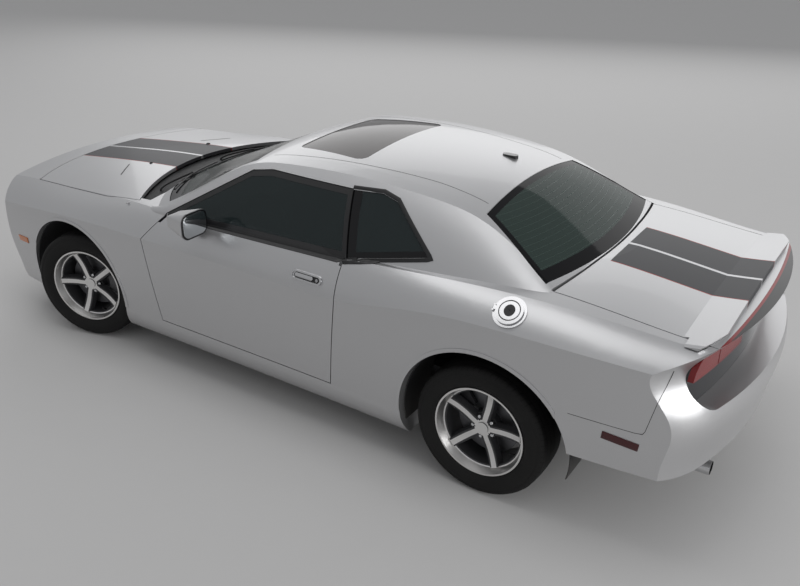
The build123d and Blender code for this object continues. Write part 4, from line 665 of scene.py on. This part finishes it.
def makeStudio(setup):
    bpy.ops.object.select_all(action="DESELECT")
    bpy.ops.mesh.primitive_plane_add(size=setup["size"], location=(0, 0, 0))
    floor = bpy.context.object
    floor.name = "studioFloor"
    material, tree, shader, here = startMaterial("studioFloor")
    grain = addGrain(tree, here, 60.0, 0.75, 0.05)
    pale = setup["floor"]
    base = mixColour(tree, grain["Cloud"], tuple(c * 0.985 for c in pale), pale)
    tree.links.new(base, shader.inputs["Base Color"])
    tree.links.new(grain["Roughness"], shader.inputs["Roughness"])
    floor.data.materials.append(material)
    for label, lamp in setup["lamps"].items():
        data = bpy.data.lights.new(label + "Light", "AREA")
        data.shape = "RECTANGLE"
        data.size, data.size_y = lamp["size"]
        data.energy = lamp["power"]
        light = bpy.data.objects.new(label + "Light", data)
        light.location = lamp["place"]
        aim = Vector(lamp["aim"]) - Vector(lamp["place"])
        light.rotation_euler = aim.to_track_quat("-Z", "Y").to_euler()
        bpy.context.scene.collection.objects.link(light)
    world = bpy.data.worlds.new("studioSky")
    world.use_nodes = True
    bpy.context.scene.world = world
    tree = world.node_tree
    back = tree.nodes["Background"]
    path = tree.nodes.new("ShaderNodeLightPath")
    seen = mathNode(tree, "MAXIMUM", path.outputs["Is Camera Ray"], path.outputs["Is Transmission Ray"])
    tree.links.new(mixNumber(tree, seen, setup["sky"], setup["backdrop"]), back.inputs["Strength"])
    back.inputs["Color"].default_value = setup["skyColour"]


makeStudio(studio)
print("studio made")

# Pieces that ride on the bodies: trims, markers, nuts, valves, wipers, mirror faces and seats


def pickOnly(piece):
    bpy.ops.object.select_all(action="DESELECT")
    piece.select_set(True)
    bpy.context.view_layer.objects.active = piece


def applyModifiers(piece):
    pickOnly(piece)
    for modifier in list(piece.modifiers):
        bpy.ops.object.modifier_apply(modifier=modifier.name)


def settlePiece(piece, body, material, smooth=35):
    pickOnly(piece)
    bpy.ops.object.transform_apply(location=True, rotation=True, scale=True)
    piece.data.materials.clear()
    piece.data.materials.append(material)
    bpy.ops.object.shade_smooth_by_angle(angle=math.radians(smooth))
    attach(piece, body)


def meshPiece(name, points, faces):
    mesh = bpy.data.meshes.new(name)
    mesh.from_pydata(points, [], faces)
    mesh.update()
    piece = bpy.data.objects.new(name, mesh)
    bpy.context.scene.collection.objects.link(piece)
    return piece


def evenPath(points, step, closed=False):
    ends = points + points[:1] if closed else points
    line = []
    for start, end in zip(ends, ends[1:]):
        parts = max(1, round((end - start).length / step))
        line += [start.lerp(end, k / parts) for k in range(parts)]
    return line if closed else line + [ends[-1]]


def turnOf(points):
    return sum(a[0] * b[1] - b[0] * a[1] for a, b in zip(points, points[1:] + points[:1]))


def insetOutline(points, distance, sharpest=0.5):
    sign = 1 if turnOf(points) > 0 else -1
    spots = []
    for n, here in enumerate(points):
        before, after = points[n - 1], points[(n + 1) % len(points)]
        one, two = Vector(here) - Vector(before), Vector(after) - Vector(here)
        first = Vector((-one.y, one.x)).normalized() * sign
        second = Vector((-two.y, two.x)).normalized() * sign
        inward = (first + second).normalized()
        reach = distance / max(inward.dot(first), sharpest)
        spots.append((here[0] + inward.x * reach, here[1] + inward.y * reach))
    return spots


def ringPath(x, y, wide, tall, count=48):
    turns = [2 * math.pi * n / count for n in range(count)]
    return [(x + wide * math.cos(turn), y + tall * math.sin(turn), 0) for turn in turns]


def stadiumPath(x, y, z, wide, tall, count=12):
    line = []
    straight = wide - tall
    for side, start in ((1, -90), (-1, 90)):
        for n in range(count + 1):
            turn = math.radians(start + 180 * n / count)
            line.append((x + side * straight + tall * math.cos(turn), y, z + tall * math.sin(turn)))
    return line


ribbonForm = {
    "seen": "side", "closed": False, "round": False, "bevel": True, "step": 0.02,
    "rows": (-1, -0.34, 0.34, 1), "material": blackTrim, "slot": "black_plastic",
}
startHeight = {"side": 0.3, "top": 3.0}


def makeRibbon(name, given, side):
    look = {**ribbonForm, **given}
    label = "left" if side > 0 else "right"
    points = [Vector((p[0], p[1] * side, p[2])) for p in look["path"]]
    closed, half, fromSide = look["closed"], look["half"], look["seen"] == "side"
    line = evenPath(points, look["step"], closed)
    away = Vector((0, side, 0)) if fromSide else Vector((0, 0, 1))
    spots, faces, count, rows = [], [], len(line), len(look["rows"])
    total = sum((b - a).length for a, b in zip(line, line[1:]))
    gone = 0.0
    for n, here in enumerate(line):
        after = line[(n + 1) % count] if closed or n + 1 < count else here
        before = line[n - 1] if closed or n else here
        across = (after - before).cross(away).normalized() * half
        if look["round"]:
            near = min(gone, total - gone) / half
            across *= math.sqrt(max(0.06, 1 - max(0.0, 1 - near) ** 2))
        if n + 1 < count:
            gone += (line[n + 1] - here).length
        spots += [here + across * k + away * startHeight[look["seen"]] for k in look["rows"]]
    for n in range(count if closed else count - 1):
        for k in range(rows - 1):
            a, b = rows * n + k, rows * ((n + 1) % count) + k
            faces.append((a, a + 1, b + 1, b))
    piece = meshPiece(name, spots, faces)
    wrap = piece.modifiers.new("wrap", "SHRINKWRAP")
    wrap.target = nodes[look["target"].format(label)]
    wrap.wrap_method = "PROJECT"
    wrap.use_project_y, wrap.use_project_z = fromSide, not fromSide
    wrap.use_negative_direction = side > 0 or not fromSide
    wrap.use_positive_direction = side < 0 and fromSide
    applyModifiers(piece)
    # Vertices that missed the target take the level of the nearest one that landed
    level = 1 if fromSide else 2
    made = piece.data.vertices
    landed = [n for n in range(len(spots)) if abs(made[n].co[level] - spots[n][level]) > 1e-4]
    for n in set(range(len(spots))) - set(landed):
        nearest = min(landed, key=lambda m: (spots[m] - spots[n]).length)
        made[n].co[level] = made[nearest].co[level]
    if sum(face.normal.dot(away) for face in piece.data.polygons) < 0:
        piece.data.flip_normals()
    shell = piece.modifiers.new("thick", "SOLIDIFY")
    shell.thickness, shell.offset = look["thick"], 1.0
    if look["bevel"]:
        edge = piece.modifiers.new("edge", "BEVEL")
        edge.width, edge.segments, edge.limit_method = look["thick"] * 0.45, 2, "ANGLE"
    applyModifiers(piece)
    settlePiece(piece, look["body"].format(label), look["material"])


quarterOutline = [(-0.448, 1.346), (-0.534, 1.050), (-0.985, 1.143), (-0.722, 1.335), (-0.630, 1.356)]
trimLook = {"out": 0.0085, "sharpest": 0.35, "startGap": 0.02, "endGap": 0.06}
quarterRing = insetOutline(quarterOutline, -trimLook["out"], trimLook["sharpest"])
quarterPath = [(x, 1, z) for x, z in quarterRing[1:] + quarterRing[:1]]
# The trim is open along the window's front edge, and its ends stop short of the two corners
quarterPath[0] = tuple(Vector(quarterPath[0]).lerp(Vector(quarterPath[1]), trimLook["startGap"]))
quarterPath[-1] = tuple(Vector(quarterPath[-1]).lerp(Vector(quarterPath[-2]), trimLook["endGap"]))
onHandle = {"target": "door_handle_{}", "body": "door_{}"}
seam = {"body": "body", "thick": 0.0004, "bevel": False}

ribbons = {
    "doorBelt": {"path": [(0.735, 1, 1.006), (0.2, 1, 1.021), (-0.2, 1, 1.032), (-0.525, 1, 1.041)],
                 "target": "door_{}", "body": "door_{}", "half": 0.009, "thick": 0.005},
    "quarterTrim": {"path": quarterPath, "target": "body_side_{}", "body": "body", "half": 0.0095,
                    "thick": 0.004},
    # A thin black strip on the hood where the scoop slit lies in shade: painted shade
    "hoodSlitShade": {"path": [(1.636, 0.331, 0), (1.575, 0.424, 0), (1.514, 0.514, 0)], "seen": "top",
                 "target": "hood", "body": "hood", "half": 0.004, "thick": 0.0012, "round": True},
    "handleBezel": {**onHandle, "path": stadiumPath(-0.350, 1, 0.930, 0.094, 0.0185), "closed": True,
                    "step": 0.008, "half": 0.0040, "thick": 0.005, "material": chrome, "slot": "chrome"},
    # A thin black strip in the handle recess: painted shade
    "handleRecessShade": {**onHandle, "path": [(-0.434, 1, 0.930), (-0.268, 1, 0.930)], "round": True,
                     "step": 0.006, "half": 0.0140, "thick": 0.0006},
    "handleFlap": {**onHandle, "path": [(-0.395, 1, 0.932), (-0.276, 1, 0.932)], "round": True,
                   "step": 0.004, "half": 0.0100, "thick": 0.0070, "material": chrome, "slot": "chrome"},
    "handleLock": {**onHandle, "path": [(-0.427, 1, 0.930), (-0.410, 1, 0.930)], "round": True,
                   "step": 0.002, "half": 0.0085, "thick": 0.0045, "material": bareSteel, "slot": "chrome"},
    "fasciaSeam": {**seam, "path": [(-1.815, 1, 0.6635), (-2.130, 1, 0.6600), (-2.163, 1, 0.664),
                                    (-2.172, 1, 0.680), (-2.205, 1, 0.840), (-2.234, 1, 0.975)],
                   "target": "rear_fascia", "half": 0.0013},
    "roofSeam": {**seam, "path": [(0.200, 0.496, 0), (-0.115, 0.478, 0), (-0.498, 0.459, 0),
                                  (-0.848, 0.434, 0), (-1.125, 0.440, 0)],
                 "seen": "top", "target": "roof", "half": 0.0016},
    "rearMarker": {"path": [(-1.990, 1, 0.606), (-2.155, 1, 0.588)], "target": "rear_fascia",
                   "body": "body", "half": 0.019, "thick": 0.004, "material": darkRed, "slot": "red_lamp"},
    "frontMarker": {"path": [(2.070, 1, 0.548), (2.185, 1, 0.544)], "target": "front_fascia", "body": "body",
                    "half": 0.020, "thick": 0.004, "material": amberPlastic, "slot": "clear_lamp"},
}
for name, look in ribbons.items():
    for side in (1, -1):
        makeRibbon(name + ("Left" if side > 0 else "Right"), look, side)
print("ribbons made")


def topOf(node, x, y):
    return nodes[node].ray_cast(Vector((x, y, 3.0)), Vector((0, 0, -1)))[1:3]


def makeLump(name, look, side):
    place, normal = topOf(look["node"], look["x"], look["y"] * side)
    bpy.ops.object.select_all(action="DESELECT")
    bpy.ops.mesh.primitive_uv_sphere_add(segments=20, ring_count=10, radius=1.0, location=place)
    piece = bpy.context.object
    piece.name = piece.data.name = name
    piece.scale = look["size"]
    piece.rotation_euler = normal.to_track_quat("Z", "Y").to_euler()
    settlePiece(piece, look["body"], look["material"])


nozzle = {"node": "hood", "x": 1.495, "y": 0.268, "size": (0.016, 0.011, 0.009), "body": "hood",
          "slot": "black_plastic", "material": blackTrim}
makeLump("washerNozzleLeft", nozzle, 1)
makeLump("washerNozzleRight", nozzle, -1)


def makeTube(name, points, radius, body, material):
    curve = bpy.data.curves.new(name, "CURVE")
    curve.dimensions, curve.bevel_depth, curve.bevel_resolution = "3D", radius, 3
    curve.use_fill_caps = True
    spline = curve.splines.new("NURBS")
    spline.points.add(len(points) - 1)
    for spot, point in zip(spline.points, points):
        spot.co = (*point, 1)
    spline.order_u, spline.use_endpoint_u = 3, True
    piece = bpy.data.objects.new(name, curve)
    bpy.context.scene.collection.objects.link(piece)
    pickOnly(piece)
    bpy.ops.object.convert(target="MESH")
    settlePiece(bpy.context.object, body, material)


wheelParts = {
    "nuts": 5, "nutCircle": 0.0575, "nutRadius": 0.0125, "nutHeight": 0.011, "nutTurn": 36,
    "valveRadius": 0.0042, "valveTurn": 180, "valveIn": (0.207, 0.030), "valveOut": (0.182, 0.058),
}


def wheelPoint(spot, radius, turn, depth):
    angle, up = math.radians(turn), Vector((0, 0, 1))
    across = spot["axis"].cross(up) * math.cos(angle) + up * math.sin(angle)
    return spot["centre"] + across * radius + spot["axis"] * depth


def makeNuts(corner, spot, look):
    axis, radius = spot["axis"], look["nutRadius"]
    made = []
    for n in range(look["nuts"]):
        turn = spot["turn"] + look["nutTurn"] + 360 * n / look["nuts"]
        start = wheelPoint(spot, look["nutCircle"], turn, 0.3)
        place = nodes["rim_" + corner].ray_cast(start, -axis)[1]
        bpy.ops.object.select_all(action="DESELECT")
        bpy.ops.mesh.primitive_uv_sphere_add(segments=20, ring_count=12, radius=radius, location=place)
        nut = bpy.context.object
        nut.scale = (1, 1, look["nutHeight"] / radius)
        nut.rotation_euler = axis.to_track_quat("Z", "Y").to_euler()
        made.append(nut)
    pickOnly(made[0])
    for nut in made:
        nut.select_set(True)
    bpy.ops.object.join()
    piece = bpy.context.object
    piece.name = piece.data.name = cornerName("nuts", corner)
    settlePiece(piece, "wheel_" + corner, chrome)


def makeValve(corner, spot, look):
    turn = spot["turn"] + look["valveTurn"]
    foot, tip = (wheelPoint(spot, r, turn, d) for r, d in (look["valveIn"], look["valveOut"]))
    makeTube(cornerName("valve", corner), [foot, (foot + tip) / 2, tip], look["valveRadius"],
             "wheel_" + corner, rubber)


for corner, spot in wheelSpots.items():
    makeNuts(corner, spot, wheelParts)
    makeValve(corner, spot, wheelParts)
print("wheel nuts and valves made")

wipers = {
    "wiperLeft": {"pivot": (1.095, 0.560),
                  "blade": [(0.905, 0.610), (0.985, 0.440), (1.050, 0.250), (1.085, 0.060)]},
    "wiperRight": {"pivot": (1.175, -0.060),
                   "blade": [(1.080, 0.020), (1.070, -0.160), (1.020, -0.360), (0.935, -0.540)]},
}
wiperForm = {"bladeLift": 0.012, "bladeRadius": 0.0055, "armLift": 0.020, "armEnd": 0.008,
             "armRadius": 0.0065}
for name, look in wipers.items():
    blade = []
    for x, y in look["blade"]:
        place, normal = topOf("windscreen", x, y)
        blade.append(place + normal * wiperForm["bladeLift"])
    makeTube(name + "Blade", blade, wiperForm["bladeRadius"], "body", blackTrim)
    middle = (blade[1] + blade[2]) / 2
    root = topOf("cowl_and_firewall", *look["pivot"])[0]
    lift, end = Vector((0, 0, wiperForm["armLift"])), Vector((0, 0, wiperForm["armEnd"]))
    makeTube(name + "Arm", [root, root + lift, (root + middle) / 2 + lift, middle + end],
             wiperForm["armRadius"], "body", blackTrim)
print("wipers made")


def roundedOutline(wide, tall, radius, count=8):
    spots = []
    for sy, sz, start in ((1, 1, 0), (-1, 1, 90), (-1, -1, 180), (1, -1, 270)):
        for n in range(count + 1):
            turn = math.radians(start + 90 * n / count)
            spots.append((sy * (wide / 2 - radius) + radius * math.cos(turn),
                          sz * (tall / 2 - radius) + radius * math.sin(turn)))
    return spots


mirrorCentre = (1.000, 1.088)
mirrorParts = {
    "Rim": {"wide": 0.186, "tall": 0.146, "radius": 0.046, "thick": 0.005, "material": blackGloss,
            "slot": "black_plastic"},
    "Glass": {"wide": 0.166, "tall": 0.126, "radius": 0.038, "thick": 0.0065, "material": mirrorFace,
              "slot": "chrome"},
}


def makeMirrorFace(side):
    label = "left" if side > 0 else "right"
    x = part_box("mirror_" + label)[0].x
    middleY, middleZ = side * mirrorCentre[0], mirrorCentre[1]
    for part, look in mirrorParts.items():
        outline = roundedOutline(look["wide"], look["tall"], look["radius"])
        spots = [(x - 0.0005, middleY + y, middleZ + z) for y, z in outline]
        piece = meshPiece("mirror" + part + label.title(), spots, [tuple(range(len(spots)))])
        if piece.data.polygons[0].normal.x > 0:
            piece.data.flip_normals()
        shell = piece.modifiers.new("thick", "SOLIDIFY")
        shell.thickness, shell.offset = look["thick"], 1.0
        edge = piece.modifiers.new("edge", "BEVEL")
        edge.width, edge.segments, edge.limit_method = 0.0015, 2, "ANGLE"
        applyModifiers(piece)
        settlePiece(piece, "door_" + label, look["material"])


for side in (1, -1):
    makeMirrorFace(side)
print("mirrors made")

# Black centre and groove of the fuel flap
flapLow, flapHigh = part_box("fuel_door")
flapX, flapY, flapSquash = -1.492, (flapLow.y + flapHigh.y) / 2, 0.788
flapRings = {
    "flapGroove": {"radius": 0.050, "half": 0.0022, "thick": 0.0004},
    "flapCentre": {"radius": 0.013, "half": 0.0130, "thick": 0.0020},
}
for name, look in flapRings.items():
    path = ringPath(flapX, flapY, look["radius"], look["radius"] * flapSquash)
    makeRibbon(name, {**look, "path": path, "closed": True, "seen": "top", "target": "fuel_door",
                      "body": "fuel_door", "step": 0.006, "bevel": False}, 1)

# Second finishes inside single nodes, chosen by where a face lies


def refinish(name, chosen, material):
    mesh = nodes[name].data
    mesh.materials.append(material)
    for face in mesh.polygons:
        if chosen(face.center, face.normal):
            face.material_index = len(mesh.materials) - 1


nutSeat = {"radius": (0.044, 0.068), "depth": (0.034, 0.047), "facing": 0.9}


def nutSeats(spot):
    def chosen(c, n):
        off = c - spot["centre"]
        depth = off.dot(spot["axis"])
        radius = (off - spot["axis"] * depth).length
        inRing = nutSeat["radius"][0] < radius < nutSeat["radius"][1]
        inDepth = nutSeat["depth"][0] < depth < nutSeat["depth"][1]
        return inRing and inDepth and n.dot(spot["axis"]) > nutSeat["facing"]
    return chosen


trimTop, mirrorFootOut, mirrorFootTop = 1.07, 0.925, 1.015
carpetRear, tipStart = -0.85, -2.16
for side, label in ((1, "left"), (-1, "right")):
    refinish("door_" + label, lambda c, n: n.y * side < -0.2 and c.z < trimTop, dashPlastic)
    refinish("mirror_" + label, lambda c, n: abs(c.y) < mirrorFootOut or c.z < mirrorFootTop, blackTrim)
    refinish("body_side_" + label, lambda c, n: n.y * side < -0.35, underPaint)
refinish("roof", lambda c, n: n.z < -0.4, headLining)
refinish("floor_pan", lambda c, n: n.z > 0.5 and c.x > carpetRear, carpet)
refinish("exhaust", lambda c, n: c.x < tipStart, chrome)
for corner, spot in wheelSpots.items():
    refinish("rim_" + corner, nutSeats(spot), chrome)
print("second finishes given")

# Padded seats in the space of their plain solids

padForm = {"step": 0.035, "sections": 27, "roundness": 3.2, "seamDepth": 0.007, "seamWidth": 0.045,
           "inset": 0.002}


def makePad(name, look, middle):
    profile = [Vector((x, 0, z)) for x, z in look["profile"]]
    outline = [tuple(p.xz) for p in evenPath(profile, padForm["step"], True)]
    spots, faces, count, sections = [], [], len(outline), padForm["sections"]
    for n in range(sections):
        t = math.sin(math.pi / 2 * (2 * n / (sections - 1) - 1))
        depth = look["crown"] * (1 - math.sqrt(max(0.0, 1 - abs(t) ** padForm["roundness"])))
        for seam in look["seams"]:
            depth += padForm["seamDepth"] * math.exp(-((abs(t) - seam) / padForm["seamWidth"]) ** 2)
        y = middle + t * look["half"]
        spots += [(x, y, z) for x, z in insetOutline(outline, depth + padForm["inset"])]
    for n in range(sections - 1):
        for k in range(count):
            a, b = n * count + k, n * count + (k + 1) % count
            faces.append((a, b, b + count, a + count))
    faces.append(tuple(reversed(range(count))))
    faces.append(tuple(range((sections - 1) * count, sections * count)))
    piece = meshPiece(name, spots, faces)
    pickOnly(piece)
    bpy.ops.object.mode_set(mode="EDIT")
    bpy.ops.mesh.select_all(action="SELECT")
    bpy.ops.mesh.normals_make_consistent(inside=False)
    bpy.ops.object.mode_set(mode="OBJECT")
    soften = piece.modifiers.new("soften", "SUBSURF")
    soften.levels = 1
    applyModifiers(piece)
    settlePiece(piece, "body", look["material"], smooth=60)
    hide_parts(look["node"])


frontSeat = {"node": "front_seats", "material": seatLeather, "seams": ()}
rearSeat = {"node": "rear_seat", "material": seatLeather, "seams": (0.48, 0.06), "crown": 0.05, "fill": 0.75}
seatPads = {
    "SeatBase": {**frontSeat, "profile": [(0.150, 0.218), (0.205, 0.372), (-0.300, 0.372), (-0.262, 0.218)],
                 "half": 0.205, "crown": 0.02, "material": dashPlastic},
    "SeatCushion": {**frontSeat, "profile": [(0.226, 0.376), (0.229, 0.470), (0.190, 0.498), (0.060, 0.476),
                                             (-0.208, 0.438), (-0.318, 0.405), (-0.310, 0.376)],
                    "half": 0.236, "crown": 0.045, "seams": (0.50, 0.30), "fill": 0.8},
    "SeatBack": {**frontSeat, "profile": [(-0.206, 0.445), (-0.252, 0.640), (-0.330, 0.880), (-0.394, 1.078),
                                          (-0.512, 1.082), (-0.440, 0.800), (-0.330, 0.415)],
                 "half": 0.236, "crown": 0.05, "seams": (0.50, 0.30), "fill": 0.8},
    "SeatHead": {**frontSeat, "profile": [(-0.425, 1.088), (-0.424, 1.145), (-0.460, 1.153), (-0.516, 1.150),
                                          (-0.516, 1.088)],
                 "half": 0.126, "crown": 0.03, "fill": 0.85},
}
rearPads = {
    "rearCushion": {**rearSeat, "profile": [(-0.642, 0.330), (-0.643, 0.470), (-0.680, 0.498),
                                            (-0.800, 0.488), (-0.925, 0.470), (-0.780, 0.330)],
                    "half": 0.560},
    "rearBack": {**rearSeat, "profile": [(-0.930, 0.478), (-1.000, 0.720), (-1.058, 0.928), (-1.104, 0.925),
                                         (-1.104, 0.500)],
                 "half": 0.570},
}
seatMiddle = 0.370
for side, label in ((1, "left"), (-1, "right")):
    for name, look in seatPads.items():
        makePad(label + name, look, side * seatMiddle)
for name, look in rearPads.items():
    makePad(name, look, 0.0)
print("seats padded")
